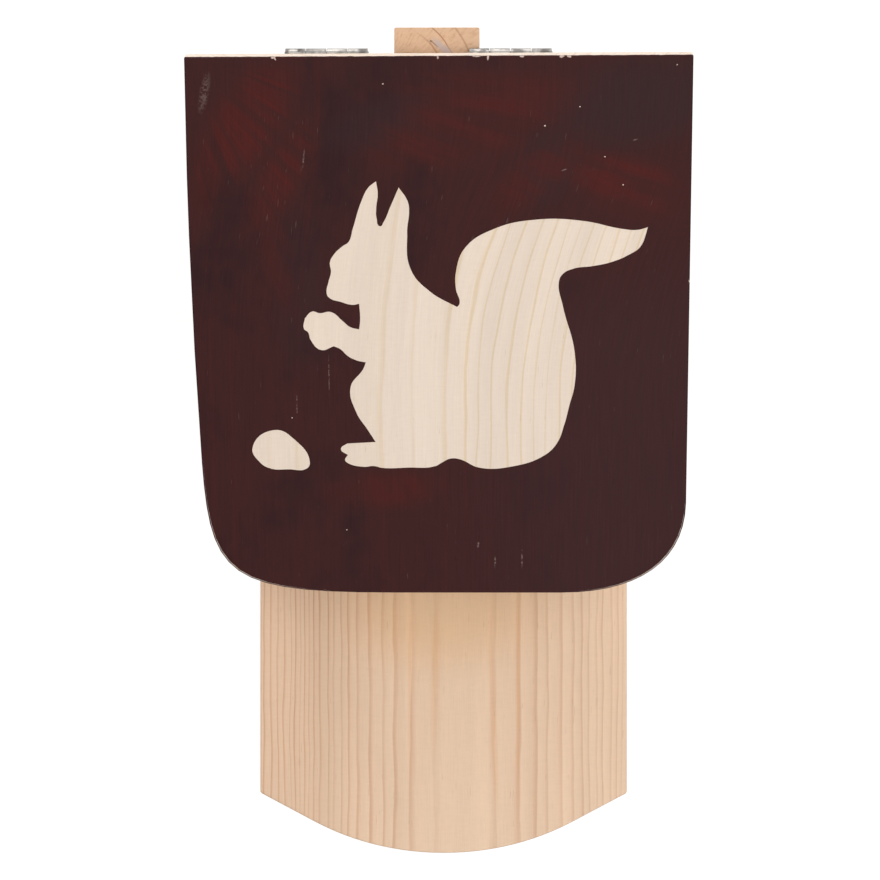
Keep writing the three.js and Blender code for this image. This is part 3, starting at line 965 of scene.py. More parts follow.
ease(floor_board, FLOOR_EASE, segments=3)
drill(floor_board, "floor_screw")
shade(floor_board)
floor_pine = pine(
    "pine_floor", "Y", FLOOR_PITH, FLOOR_RINGS, wander=1.6, ripple=2.3, seed=3.0, start=0.62,
    tones=FLOOR_TONES, fade=FLOOR_FADE,
    marks=[(FLOOR_RED_LINES, FLOOR_RED), (FLOOR_LID_SHADE, FLOOR_SHADE_TONE)],
)
hand_over(floor_board, "box", ["floor_board"], "bare_pine", floor_pine)

# %% [markdown]
# The side boards stand on the floor. Each is a block with its top sawn along the roof, a narrow
# kerf down its inner face for the pane, and holes for its screws. The kerf is cut by a block of
# the pane's own size with some clearance, so the two always fit.

# %% Side boards
LID_REST_GAP = mm(0.3)
KERF_DEPTH = mm(5)
PANE_CLEARANCE = mm(0.2)
CUT_OVERRUN = mm(5)
BOARD_EASE = mm(0.5)

pane_low, pane_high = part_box("front_pane")
lid_low, lid_high = roof_box("lid_board")


def saw_to_roof(piece, height):
    """Saws a board's top along the slope, at a height square to the roof over the hinge axis."""
    return saw(piece, ROOF @ Vector((0, 0, height)), ROOF_UP)


def kerf_tool(inner_x, side):
    near, far = sorted((inner_x - side * CUT_OVERRUN, inner_x + side * KERF_DEPTH))
    low = Vector((near, pane_low.y - PANE_CLEARANCE, pane_low.z - CUT_OVERRUN))
    high = Vector((far, pane_high.y + PANE_CLEARANCE, HINGE_AXIS.z))
    return block("kerf_tool", low, high)


SIDE_PINE = {
    "left": {"pith": (-128, 52), "rings": 3.1, "seed": -11.0},
    "right": {"pith": (141, 96), "rings": 2.7, "seed": 11.0},
}
for side, name in ((-1, "left"), (1, "right")):
    low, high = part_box(f"side_board_{name}")
    board = block(f"side_board_{name}_pine", low, high)
    saw_to_roof(board, lid_low.z - LID_REST_GAP)
    ease(board, BOARD_EASE)
    inner_x = high.x if side < 0 else low.x
    cut(board, kerf_tool(inner_x, side))
    drill(board, f"floor_screw_{name}")
    drill(board, f"rear_screw_{name}")
    shade(board)
    side_pine = pine(f"pine_side_{name}", "Y", wander=9.0, **SIDE_PINE[name])
    hand_over(board, "box", [f"side_board_{name}"], "bare_pine", side_pine)

# %% [markdown]
# The back board closes the box and carries the hinges on its planed top edge. Its fibres run
# across, so that the hinge screws bite into the board's edge and not into its end. Two holes run
# through it and the batten behind it, for the screws that hang the feeder on a tree.

# %% Back board and hanging batten
HANGING_HOLE_RADIUS = mm(3.5)
HOLE_SIDES = 48
BATTEN_CORNER = mm(0.6)
BATTEN_EASE = mm(0.25)

openings = {opening["name"]: opening["box_m"] for opening in frame["record"]["physics"]["openings"]}
hanging_holes = [openings["hanging_hole_lower"], openings["hanging_hole_upper"]]


def bore_tool(box):
    """A round cutter along Y through the middle of an opening's box."""
    middle = (Vector(box[0]) + Vector(box[1])) / 2
    bpy.ops.object.select_all(action="DESELECT")
    bpy.ops.mesh.primitive_cylinder_add(
        vertices=HOLE_SIDES, radius=HANGING_HOLE_RADIUS, depth=box[1][1] - box[0][1] + 2 * CUT_OVERRUN,
        location=middle, rotation=(QUARTER_TURN, 0, 0),
    )
    return settle(bpy.context.object)


back_board = block("back_board_pine", *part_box("back_board"))
saw_to_roof(back_board, -lid_low.z)
ease(back_board, BOARD_EASE)
cut(back_board, *[bore_tool(box) for box in hanging_holes])
for start in ("rear_screw", "floor_screw_back", "batten_screw"):
    drill(back_board, start)
for hinge in SIDES:
    drill(back_board, f"{hinge}_hinge_box")
shade(back_board)
back_pine = pine("pine_back", "X", pith=(-190, 96), rings=2.9, wander=8.0, seed=23.0)
hand_over(back_board, "box", ["back_board"], "bare_pine", back_pine)

batten_low, batten_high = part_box("hanging_batten")
batten = block("hanging_batten_pine", batten_low, batten_high)


def rear_upright(edge):
    """True for the two long edges at the batten's rear."""
    rise = abs(edge.verts[0].co.z - edge.verts[1].co.z)
    return rise > CUT_OVERRUN and all_ends(edge, lambda place: place.y > batten_high.y - TOUCH)


open_mesh(batten, "EDGE")
select(batten, "EDGE", rear_upright)
bpy.ops.mesh.bevel(offset_type="OFFSET", offset=BATTEN_CORNER, segments=3, profile=0.5, affect="EDGES")
close_mesh()
ease(batten, BATTEN_EASE)
cut(batten, *[bore_tool(box) for box in hanging_holes])
drill(batten, "batten_screw")
shade(batten)

# %% [markdown]
# The batten's top end is the one sawn end that shows from above. Its pith lay outside the strip,
# in front of it and to the left, so the rings cross it as arcs that are strong on the right, with
# fine rays across them. A lilac-grey streak runs between two rings, from a dark dot. The fibres
# run upwards, so the point is turned a quarter about X first, and the pith's place is given in
# that turned frame. The streak and the dot are soft strokes in the plane of X and Y, so they use
# the point before that turn.

# %% Batten finish
BATTEN_PITH = (-21.8, 136.6)
BATTEN_RINGS = [12.0, 18.5, 24.4, 28.8, 34.9, 46.0]
BATTEN_TONES = {
    "end": colour(212, 175, 143), "end line": colour(150, 98, 60), "ray": colour(178, 134, 96),
}
BATTEN_FADE = (-1, -9, 0.12)
BATTEN_STREAK = [(-0.6, 152.0, -48, 4.4, 1.6, 0.85), (1.7, 149.8, -50, 3.8, 2.1, 0.85)]
BATTEN_DOT = [(-3.7, 153.4, -20, 0.75, 0.55, 0.8), (-2.6, 152.5, -42, 2.4, 0.35, 0.6)]
BATTEN_GREY = colour(186, 168, 163)
BATTEN_DARK = colour(84, 68, 56)

batten_pine, tree, surface = new_material("pine_batten")
point, normal = board_point(tree, FIBRES_ALONG["Z"], NO_SHIFT)
tint, rough, height = pine_looks(
    tree, point, normal, BATTEN_PITH, BATTEN_RINGS, wander=0.8, seed=41.0, tones=BATTEN_TONES,
    start=0.84, fade=BATTEN_FADE,
)
level_point, _ = board_point(tree, FIBRES_ALONG["Y"], NO_SHIFT)
tint = mix(tree, strokes(tree, level_point, BATTEN_STREAK), tint, BATTEN_GREY)
tint = mix(tree, strokes(tree, level_point, BATTEN_DOT), tint, BATTEN_DARK)
end_wood(tree, surface, tint, rough, height)
hand_over(batten, "box", ["hanging_batten"], "bare_pine", batten_pine)

# %% [markdown]
# The pane is 3 mm clear acrylic with polished faces and matt sawn edges. A clear sheet shows its
# thickness by its edges, so the four edge faces get a rougher, whiter material of their own.

# %% Front pane
PANE_EASE = mm(0.15)
ACRYLIC_IOR = 1.49
SAW_MARK_DEPTH = mm(0.1)
SAW_MARK_STRENGTH = 0.6

front_pane = block("front_pane_acrylic", pane_low, pane_high)
ease(front_pane, PANE_EASE)
shade(front_pane)

clear_acrylic, tree, surface = new_material("clear_acrylic")
point = add_node(tree, "TexCoord").outputs["Object"]
smear = noise(tree, point, 60.0, 3.0, 0.6)
feeds = {
    "Base Color": (0.95, 0.985, 0.985, 1),
    "Roughness": step(tree, smear, 0.4, 0.8, 0.02, 0.09),
    "IOR": ACRYLIC_IOR,
    "Transmission Weight": 1.0,
}
tree.links.new(add_node(tree, "BsdfPrincipled", feeds).outputs[0], surface)

sawn_acrylic, tree, surface = new_material("sawn_acrylic")
point = add_node(tree, "TexCoord").outputs["Object"]
saw_marks = noise(tree, stretch(tree, point, 900, 900, 160), 1.0)
feeds = {
    "Base Color": (0.9, 0.95, 0.95, 1),
    "Roughness": step(tree, saw_marks, 0.2, 0.8, 0.35, 0.6),
    "IOR": ACRYLIC_IOR,
    "Transmission Weight": 0.6,
}
end_material(tree, surface, feeds, saw_marks, SAW_MARK_STRENGTH, SAW_MARK_DEPTH)

hand_over(front_pane, "pane", ["front_pane"], "clear_acrylic", clear_acrylic, sawn_acrylic)
for face in front_pane.data.polygons:
    face.material_index = 0 if abs(face.normal.y) > FACING else 1

# %% [markdown]
# The lid's outline has square corners at the hinges and two hand-sawn round corners at the front,
# the left one wider than the right. Its left side bows out a little, and its rear edge is not
# quite square. It is drawn as a flat Bezier curve, like a paper template, and so are the squirrel
# and the nut. Because the stain is a thin coat, it is made as one: a sheet as thin as a hair, with
# the two figures cut out of it, lying on the bare board. The cut-outs stay crisp at any distance,
# which a painted mask would not.

# %% Outlines for the lid
SHARP, SMOOTH = "VECTOR", "AUTO"
LID_SKEW = 0.9
LID_REAR_SKEW = 0.35
LID_LEFT_BOW = 1.1
LID_RIGHT_CORNER = {"along": 36, "across": 46, "fullness": 0.64}
LID_LEFT_CORNER = {"along": 52, "across": 70, "fullness": 0.88}
LID_HALF_WIDTH = lid_high.x / MM - LID_SKEW
LID_REAR = lid_high.y / MM - LID_REAR_SKEW
LID_FRONT = lid_low.y / MM
CURVE_STEPS = 14


def flat_shape(name, loops):
    """Draws closed loops as one flat curve and makes it a mesh. An inner loop is a hole. An
    anchor is (x, y), (x, y, SHARP), or (x, y, handle before, handle after)."""
    curve = bpy.data.curves.new(name, "CURVE")
    curve.dimensions = "2D"
    curve.fill_mode = "BOTH"
    curve.resolution_u = CURVE_STEPS
    for anchors in loops:
        spline = curve.splines.new("BEZIER")
        spline.use_cyclic_u = True
        spline.bezier_points.add(len(anchors) - 1)
        for point, (x, y, *handles) in zip(spline.bezier_points, anchors):
            point.co = mm(x, y, 0)
            kind = handles[0] if len(handles) == 1 else SMOOTH
            if len(handles) == 2:
                kind = "FREE"
                point.handle_left = mm(*handles[0], 0)
                point.handle_right = mm(*handles[1], 0)
            point.handle_left_type = kind
            point.handle_right_type = kind
    piece = bpy.data.objects.new(name, curve)
    bpy.context.scene.collection.objects.link(piece)
    pick(piece)
    bpy.ops.object.convert(target="MESH")
    return pick(bpy.context.object)


def thicken(piece, low_z, high_z):
    """Turns a flat mesh at height zero into a solid sheet between two heights."""
    open_mesh(piece)
    weld()
    bpy.ops.transform.translate(value=(0, 0, low_z))
    bpy.ops.mesh.extrude_region_move(TRANSFORM_OT_translate={"value": (0, 0, high_z - low_z)})
    close_outwards()
    return piece


def lid_outline(inset):
    """The lid's outline, clockwise from its rear left corner, drawn in by an inset."""
    front = LID_FRONT + inset
    left = inset - LID_HALF_WIDTH + LID_SKEW
    right = LID_HALF_WIDTH + LID_SKEW - inset
    left_along, left_across, left_fullness = LID_LEFT_CORNER.values()
    right_along, right_across, right_fullness = LID_RIGHT_CORNER.values()

    rear_left = Vector((inset - LID_HALF_WIDTH - LID_SKEW, LID_REAR - LID_REAR_SKEW - inset))
    rear_right = Vector((LID_HALF_WIDTH - LID_SKEW - inset, LID_REAR + LID_REAR_SKEW - inset))
    right_end = Vector((right, front + right_along))
    front_right = Vector((right - right_across, front))
    front_left = Vector((left + left_across, front))
    left_end = Vector((left, front + left_along))

    bow = (rear_left + left_end) / 2 - Vector((2 * LID_LEFT_BOW, 0))
    onward = (left_end - bow).normalized() * left_along * left_fullness
    down_right = Vector((0, right_along * right_fullness))
    out_right = Vector((right_across * right_fullness, 0))
    out_left = Vector((left_across * left_fullness, 0))
    return [
        (*rear_left, rear_left.lerp(bow, 2 / 3), rear_left.lerp(rear_right, 1 / 3)),
        (*rear_right, SHARP),
        (*right_end, right_end.lerp(rear_right, 1 / 3), right_end - down_right),
        (*front_right, front_right + out_right, front_right.lerp(front_left, 1 / 3)),
        (*front_left, front_left.lerp(front_right, 1 / 3), front_left - out_left),
        (*left_end, left_end + onward, left_end.lerp(bow, 2 / 3)),
    ]


print("lid in mm: half width", round(LID_HALF_WIDTH, 2), "front", round(LID_FRONT, 2))

# %% [markdown]
# The squirrel sits on its hind legs with its tail raised and holds something in its paws. It is
# followed once round, from the tip of its left ear, over the back, tail and feet and up again to
# its face. Corners are marked sharp, and the curve runs smoothly through the rest.

# %% Squirrel, nut and marks
SQUIRREL = [
    (-23.5, -44.9, SHARP), (-22.9, -49.5), (-23.5, -54.8), (-23.4, -58.6), (-22.2, -61.6),
    (-20.9, -60.0), (-18.5, -54.5),
    (-15.4, -47.2, SHARP), (-12.4, -51.8), (-11.7, -54.4), (-12.4, -64.0), (-11.1, -78.0),
    (-4.0, -86.3), (5.6, -92.0, SHARP),
    (6.5, -90.8), (5.2, -85.2), (5.2, -78.8), (8.5, -69.7), (19.0, -62.6), (34.8, -59.1),
    (51.5, -59.7), (65.2, -62.6), (70.7, -63.0), (74.6, -62.0, SHARP),
    (71.9, -69.4), (68.1, -72.2), (61.8, -75.0), (55.3, -76.5), (47.7, -77.6), (44.1, -79.5),
    (42.7, -82.2), (44.2, -91.6), (48.7, -109.0), (48.9, -121.9), (47.1, -129.7), (45.2, -137.6),
    (42.7, -144.5), (38.3, -149.2), (25.3, -153.9), (13.8, -154.2), (6.2, -150.8), (3.0, -150.7),
    (0.0, -152.2), (-2.4, -153.6), (-12.6, -154.2), (-22.3, -154.3), (-25.3, -153.6),
    (-29.0, -153.9), (-35.3, -152.2), (-36.0, -151.2), (-35.0, -149.2, SHARP), (-37.5, -146.9),
    (-35.2, -144.7, SHARP), (-24.6, -144.1, SHARP),
    (-27.7, -139.0), (-31.5, -132.8), (-33.6, -122.7), (-28.9, -115.7), (-27.9, -113.2, SHARP),
    (-31.3, -112.4), (-34.5, -110.7), (-37.3, -108.0), (-39.6, -107.0, SHARP),
    (-44.3, -108.4), (-48.0, -104.6), (-48.9, -101.7), (-50.4, -100.2), (-50.0, -96.3, SHARP),
    (-47.3, -93.7), (-44.6, -94.3), (-40.4, -93.9), (-36.2, -97.3), (-33.5, -99.6),
    (-30.2, -100.5, SHARP),
    (-29.8, -96.8), (-30.1, -90.8, SHARP), (-32.4, -91.2), (-36.7, -90.1), (-41.2, -88.3),
    (-41.9, -86.7), (-41.1, -82.3), (-40.2, -78.8), (-40.5, -75.0), (-38.6, -71.6),
    (-35.9, -69.1), (-33.7, -67.5), (-32.1, -62.6), (-28.7, -51.9), (-26.4, -47.4),
]
NUT = [
    (-70.3, -146.3), (-61.8, -139.4), (-54.5, -143.3), (-49.1, -152.2), (-50.2, -154.5),
    (-57.0, -154.9), (-64.0, -154.5), (-67.6, -152.2),
]
SPECKS = [
    (-20.7, -9.5, 0.34), (37.0, -24.7, 0.4), (49.4, -17.8, 0.3), (58.6, -36.0, 0.34),
    (65.3, -46.3, 0.36), (83.6, -2.7, 0.3), (-35.7, -179.0, 0.3), (-55.4, -134.7, 0.3),
]
SPECK_SHAPE = [(-1, 0), (0, -0.7), (0.9, 0.2), (0.1, 1)]


def speck(x, y, size):
    """A tiny uneven chip in the stain."""
    return [(x + size * right, y + size * up, SHARP) for right, up in SPECK_SHAPE]


print("squirrel anchors:", len(SQUIRREL), "specks:", len(SPECKS))

# %% [markdown]
# The lid's board is the template given its thickness, with every arris rounded over. The filled
# template comes as many thin triangles, and dissolving the flat ones first leaves one clean face,
# which a bevel needs. The coat is the same template drawn in to where the arris begins. The brush
# also wetted the arris itself, so its faces take the stain too: all of them at the sides and the
# front, and all but the lowest at the rear, where the board's edge stayed bare.

# %% Lid board and its coat of stain
LID_EASE = mm(0.5)
COAT = mm(0.06)
COAT_SINK = mm(0.01)
COAT_INSET = 0.5
LEVEL_FACE = 0.98
REAR_FACE = 0.2
REAR_STAIN_LIMIT = 0.3
COATED_ARRIS_SHARE = 0.9
FLAT_ANGLE = math.radians(0.5)

lid_board = flat_shape("lid_board_pine", [lid_outline(0)])
open_mesh(lid_board)
weld()
bpy.ops.mesh.dissolve_limited(angle_limit=FLAT_ANGLE)
close_mesh()
thicken(lid_board, lid_low.z, lid_high.z - COAT)
ease(lid_board, LID_EASE, segments=3)
coat_start = lid_high.z - COAT - LID_EASE * COATED_ARRIS_SHARE

loops = [lid_outline(COAT_INSET), SQUIRREL, NUT] + [speck(*place) for place in SPECKS]
stain_coat = thicken(flat_shape("stain_coat", loops), lid_high.z - COAT - COAT_SINK, lid_high.z)
for face in lid_board.data.polygons:
    rounded_over = face.center.z > coat_start and face.normal.z < LEVEL_FACE
    wetted = face.normal.y < REAR_FACE or face.normal.z > REAR_STAIN_LIMIT
    face.material_index = 1 if rounded_over and wetted else 0
for piece in (lid_board, stain_coat):
    settle(piece, ROOF)
for hinge in SIDES:
    drill(lid_board, f"{hinge}_hinge_lid")
shade(lid_board)
print("lid faces:", len(lid_board.data.polygons), "coat faces:", len(stain_coat.data.polygons))

# %% [markdown]
# The lid lies aslant, and a pattern drawn for a level board would be squeezed on it. So the lid's
# materials first turn the point back into the roof frame. There the growth rings of the bare
# figures are charted from the real lid, as the floor board's were. On this lid they also bend to
# the right towards the hinges, so the point is pushed sideways by an amount that grows with the
# square of the distance up the slope. Down the board's sawn edges the stain crept a little way,
# here more and there less.

# %% Bare wood of the lid
LID_TURN = (-ROOF_SLOPE, 0, 0)
LID_SHIFT = tuple(-(Matrix.Rotation(-ROOF_SLOPE, 3, "X") @ HINGE_AXIS) / MM)
LID_PITH = (-38, -17.2)
LID_RINGS = [
    9.0, 15.0, 22.5, 30.2, 37.3, 47.8, 53.9, 57.2, 62.0, 67.8, 72.6, 76.8, 81.0, 85.6, 90.0, 94.7,
    99.0, 103.6, 108.4, 113.0, 118.0, 122.6, 127.5,
]
LID_GROWTH = {"wander": 1.2, "ripple": 2.8, "seed": 57.0, "start": 0.78}
# The lid's sawn ends are nearly as pale as its face, unlike the other boards': partly the board's own tone, partly
# painted light for its brightly lit rear edge.
LID_TONES = {
    "pale": colour(234, 216, 199), "line": colour(225, 202, 173), "end": colour(229, 213, 199),
    "end line": colour(212, 186, 160),
}
LID_RELIEF = 0.45
BEND_START = -129.5
BEND_LENGTH = 68
BEND_LIMIT = 1.35
BEND_EASING = 0.5
BEND_ACROSS = (-5.0, 25.0, 5, 12)
STAIN_BASE = colour(60, 31, 30)
CREEP_DEPTH = 0.75
CREEP_FADE = 0.15
CREEP_UNEVEN = 0.25


def bent_point(tree, point):
    """Undoes the sideways bend of the lid's fibres. BEND_LENGTH above its start it is 5 mm on the
    left and 12 mm on the right, and some way further up it grows no more."""
    x, y, z = split(tree, point)
    rise = calc(tree, "DIVIDE", minus(tree, y, BEND_START), BEND_LENGTH)
    rise = calc(tree, "SMOOTH_MIN", calc(tree, "MAXIMUM", rise, 0.0), BEND_LIMIT, BEND_EASING)
    push = times(tree, rise, rise, step(tree, x, *BEND_ACROSS))
    return join(tree, minus(tree, x, push), y, z)


lid_pine, tree, surface = new_material("pine_lid")
point, normal = board_point(tree, LID_TURN, LID_SHIFT)
bent = bent_point(tree, point)
tint, rough, height = pine_looks(tree, bent, normal, LID_PITH, LID_RINGS, tones=LID_TONES, **LID_GROWTH)
uneven = noise(tree, point, 0.3, 3.0, 0.6)
depth = minus(tree, lid_high.z / MM, split(tree, point)["Z"])
depth = plus(tree, depth, step(tree, uneven, 0.3, 0.7, -CREEP_UNEVEN, CREEP_UNEVEN))
on_edge = step(tree, split(tree, normal)["Z"], 0.9, 0.6)
crept = times(tree, step(tree, depth, CREEP_DEPTH, CREEP_DEPTH - CREEP_FADE), on_edge)
tint = mix(tree, crept, tint, STAIN_BASE)
end_wood(tree, surface, tint, rough, height, LID_RELIEF)
print("lid shift in mm:", [round(part, 1) for part in LID_SHIFT])

# %% [markdown]
# The stain is a dark mahogany, put on with a brush and a rag. It took more red where the wood was
# wiped: in strokes that fan out from the top left corner, and in patches along the top. Elsewhere
# it is browner, with darker clouds, and towards the right a little more violet. The fibres show
# through as fine upright streaks, and here and there the stain missed a fibre, most of all where
# the board was dry. The lists are read off the real lid, in the roof frame: red, cold and dry
# patches, scuffs and scratches, and chips at the edges.

# %% Stain
STAIN_DARK = colour(49, 26, 28)
STAIN_VIOLET = colour(60, 35, 36)
STAIN_COLD = colour(53, 34, 36)
STAIN_RED = colour(82, 30, 26)
STAIN_WORN = colour(150, 128, 122)
STAIN_CHIP = colour(206, 182, 171)
STAIN_GLOSS = 0.07
STAIN_RELIEF = 0.35
FAN_CORNER = (-96.0, 6.0)
FAN_STROKES = 16.0
FAN_DRAWN_OUT = 0.012
RED_PATCHES = [
    (-70, -24, 55, 36, 16, 0.9), (-58, -44, 62, 30, 10, 0.7), (-84, -40, 80, 30, 8, 0.5),
    (10, -24, 15, 50, 18, 0.6), (35, -42, 40, 30, 11, 0.5), (68, -47, -20, 28, 14, 1.0),
    (-22, -163, 5, 30, 10, 0.6), (-60, -75, 95, 30, 10, 0.3), (20, -10, 0, 46, 8, 0.4),
]
SCUFFS = [
    (-84.3, -12.6, 78, 9.5, 2.2, 0.27), (-49.4, -36.6, 84, 4.5, 0.4, 0.5),
    (-41.5, -118, 90, 9.7, 0.3, 0.4), (-53.5, -129.7, 90, 6, 0.3, 0.4),
    (13.5, -185, 80, 1.6, 0.6, 0.6), (19.9, -192, 90, 3.1, 0.45, 0.6), (30, -190.5, 90, 4.7, 0.4, 0.6),
    (44, -40.8, 20, 1.3, 0.35, 0.6), (69.3, -29.8, 15, 1.3, 0.3, 0.6),
]
COLD_PATCHES = [
    (70, -16, 10, 44, 22, 0.8), (38, -39, 80, 22, 14, 0.6),
    (-24, -24, 20, 26, 12, 0.6), (-52, -86, 90, 40, 14, 0.4),
]
DRY_PATCHES = [(-62, -52, 80, 48, 30, 1.0)]
CHIPS = [
    (-59.5, 0.1, 20, 1.2, 0.7, 0.9), (-58.9, -0.4, -60, 1.0, 0.4, 0.8),
    (-1.1, 0.2, 80, 1.3, 0.6, 0.7), (16.6, 0.2, 85, 1.8, 0.55, 0.8), (12.5, 0.5, 0, 2.6, 0.6, 0.6),
    (28.6, 0.4, 0, 1.2, 0.7, 0.7), (42.8, 0.4, 15, 1.3, 0.8, 0.9), (45.3, 0.4, -20, 1.2, 0.7, 0.8),
    (90.4, -82.2, 90, 1.0, 0.9, 0.9), (-91.4, -98.8, 90, 1.2, 0.9, 0.9),
]

lid_stain, tree, surface = new_material("mahogany_stain")
point, _ = board_point(tree, LID_TURN, LID_SHIFT)
bent = bent_point(tree, point)
_, growth, strands = pine_growth(tree, bent, LID_PITH, LID_RINGS, **LID_GROWTH)
cloudy = noise(tree, stretch(tree, point, 0.035, 0.022, 0.035), 1.0, 4.0, 0.62)
brushed = noise(tree, stretch(tree, bent, 0.9, 0.035, 0.9), 1.0, 3.0, 0.65)
x, y, _ = split(tree, point)
cold = times(tree, step(tree, x, -20.0, 70.0), step(tree, y, -60.0, -110.0))
tint = mix(tree, step(tree, cloudy, 0.3, 0.52), STAIN_DARK, STAIN_BASE)
tint = mix(tree, times(tree, cold, 0.8), tint, STAIN_VIOLET)
tint = mix(tree, strokes(tree, point, COLD_PATCHES), tint, STAIN_COLD)

# The fan of brush strokes: the angle round the corner is drawn out along the distance from it.
fan_x = minus(tree, x, FAN_CORNER[0])
fan_y = minus(tree, y, FAN_CORNER[1])
fan_angle = times(tree, calc(tree, "ARCTAN2", fan_y, fan_x), FAN_STROKES)
fan = join(tree, fan_angle, times(tree, length(tree, fan_x, fan_y), FAN_DRAWN_OUT))
fan_strokes = noise(tree, fan, 1.0, 4.0, 0.62)
wiped = strokes(tree, point, RED_PATCHES)
red = times(tree, wiped, step(tree, fan_strokes, 0.32, 0.7, 0.1, 1.0))
tint = mix(tree, red, tint, STAIN_RED)
tint = mix(tree, times(tree, growth["Line"], 0.12), tint, STAIN_RED)
tint = mix(tree, times(tree, strands["Ducts"], 0.5), tint, STAIN_DARK)

# Wear: scuffs crumble at their edges, and missed fibres are rare short upright flecks.
crumbly = noise(tree, point, 1.1, 3.0, 0.7)
worn = times(tree, strokes(tree, point, SCUFFS), step(tree, crumbly, 0.4, 0.6))
missed = noise(tree, stretch(tree, bent, 1.5, 0.16, 1.5, (31.0, 0.0, 0.0)), 1.0, 1.0)
missed = plus(tree, missed, times(tree, strokes(tree, point, DRY_PATCHES), 0.05))
flecks = times(tree, step(tree, missed, 0.74, 0.86), 0.17)
tint = mix(tree, calc(tree, "MAXIMUM", worn, flecks), tint, STAIN_WORN)
chipped = times(tree, strokes(tree, point, CHIPS), step(tree, crumbly, 0.3, 0.5, 0.3, 1.0))
fine_streaks = step(tree, strands["Fine"], 0.2, 0.8, 0.91, 1.08)
brush_streaks = step(tree, brushed, 0.3, 0.7, 0.93, 1.07)
tint = scaled(tree, tint, times(tree, fine_streaks, brush_streaks))
tint = mix(tree, step(tree, chipped, 0.15, 0.7), tint, STAIN_CHIP)
rough = step(tree, brushed, 0.3, 0.7, 0.52, 0.66)
height = plus(tree, times(tree, strands["Fine"], 0.7), times(tree, brushed, 0.4))
end_wood(tree, surface, tint, rough, height, STAIN_RELIEF, STAIN_GLOSS)

hand_over(lid_board, "lid", ["lid_board"], "stained_pine", lid_pine, lid_stain)
hand_over(stain_coat, "lid", [], "stained_pine", lid_stain)

# %% [markdown]
# The hinges are small butt hinges rolled from 0.8 mm zinc-plated sheet. A leaf starts as a plane,
# with its free corners rounded. It is split where the knuckles end, and only the knuckles' rear
# edges are extruded and spun round the pin. So the gaps between knuckles need no cutting. A
# Solidify modifier then gives the sheet its thickness.

# %% Hinge leaves
HINGE_SHEET = mm(0.8)
PIN_RADIUS = mm(0.7)
PIN_CLEARANCE = mm(0.15)
SHEET_MIDDLE = PIN_RADIUS + PIN_CLEARANCE + HINGE_SHEET / 2
BARREL_RADIUS = SHEET_MIDDLE + HINGE_SHEET / 2
KNUCKLE_GAP = mm(0.3)
KNUCKLE_SLIT = mm(0.4)
CURL = math.radians(290)
CURL_STEPS = 30
LEAF_CORNER = mm(1)
LEAF_EASE = mm(0.1)


def knuckle_stretches(face, half, middle):
    """Stretches along X that carry knuckles: the box leaf has the outer ones, the lid leaf two
    short ones between them."""
    if face < 0:
        return [(-half, -middle), (middle, half)]
    own = middle - KNUCKLE_GAP
    return [(-own, -KNUCKLE_SLIT / 2), (KNUCKLE_SLIT / 2, own)]


def hinge_leaf(hinge, part, face):
    """One leaf. face is -1 for the leaf on the box, below the pin, and 1 for the one above."""
    node = f"{hinge}_hinge_{part}_leaf"
    pin_low, pin_high = roof_box(f"{hinge}_hinge_pin")
    centre = (pin_low.x + pin_high.x) / 2
    low, high = roof_box(f"{hinge}_hinge_box_leaf")
    half = (high.x - low.x) / 2
    middle = half - (2 * half - 2 * KNUCKLE_GAP - KNUCKLE_SLIT) / 4
    stretches = knuckle_stretches(face, half, middle)
    root_y = -BARREL_RADIUS - KNUCKLE_GAP

    bpy.ops.object.select_all(action="DESELECT")
    bpy.ops.mesh.primitive_plane_add(size=1)
    leaf = bpy.context.object
    leaf.name = node + "_steel"
    leaf.data.name = leaf.name
    leaf.scale = (2 * half, root_y - low.y, 1)
    leaf.location = (0, (root_y + low.y) / 2, face * SHEET_MIDDLE)
    settle(leaf)
    open_mesh(leaf, "VERT")
    select(leaf, "VERT", lambda vertex: vertex.co.y < low.y + TOUCH)
    bpy.ops.mesh.bevel(offset_type="OFFSET", offset=LEAF_CORNER, segments=4, affect="VERTICES")
    for border in sorted({abs(end) for stretch_ends in stretches for end in stretch_ends}):
        for sign in (-1, 1):
            bpy.ops.mesh.select_all(action="SELECT")
            bpy.ops.mesh.bisect(plane_co=(sign * border, 0, 0), plane_no=(1, 0, 0))

    def on_knuckle(edge):
        middle_x = (edge.verts[0].co.x + edge.verts[1].co.x) / 2
        at_root = all_ends(edge, lambda place: place.y > root_y - TOUCH)
        return at_root and any(start < middle_x < end for start, end in stretches)

    select(leaf, "EDGE", on_knuckle)
    bpy.ops.mesh.extrude_region_move(TRANSFORM_OT_translate={"value": (0, -root_y, 0)})
    bpy.ops.mesh.spin(steps=CURL_STEPS, angle=face * CURL, center=(0, 0, 0), axis=(1, 0, 0))
    weld()
    close_outwards()
    apply_modifier(leaf, "SOLIDIFY", thickness=HINGE_SHEET, offset=0)
    ease(leaf, LEAF_EASE)
    settle(leaf, ROOF @ Matrix.Translation((centre, 0, 0)))
    drill(leaf, f"{hinge}_hinge_{part}_screw")
    shade(leaf)
    front, rear = roof_corners(leaf)
    print(leaf.name, "from y", round(front.y / MM, 2), "to", round(rear.y / MM, 2), "mm on the roof")
    return leaf, node


print("hinge barrel in mm:", round(2 * BARREL_RADIUS / MM, 2))

# %% [markdown]
# The pin is a plain steel wire with its ends hammered slightly round. It is turned like a screw
# and then laid along X.

# %% Hinge pins
PIN_END = [(0.35, 0), (0.75, 0.1), (1, 0.4)]


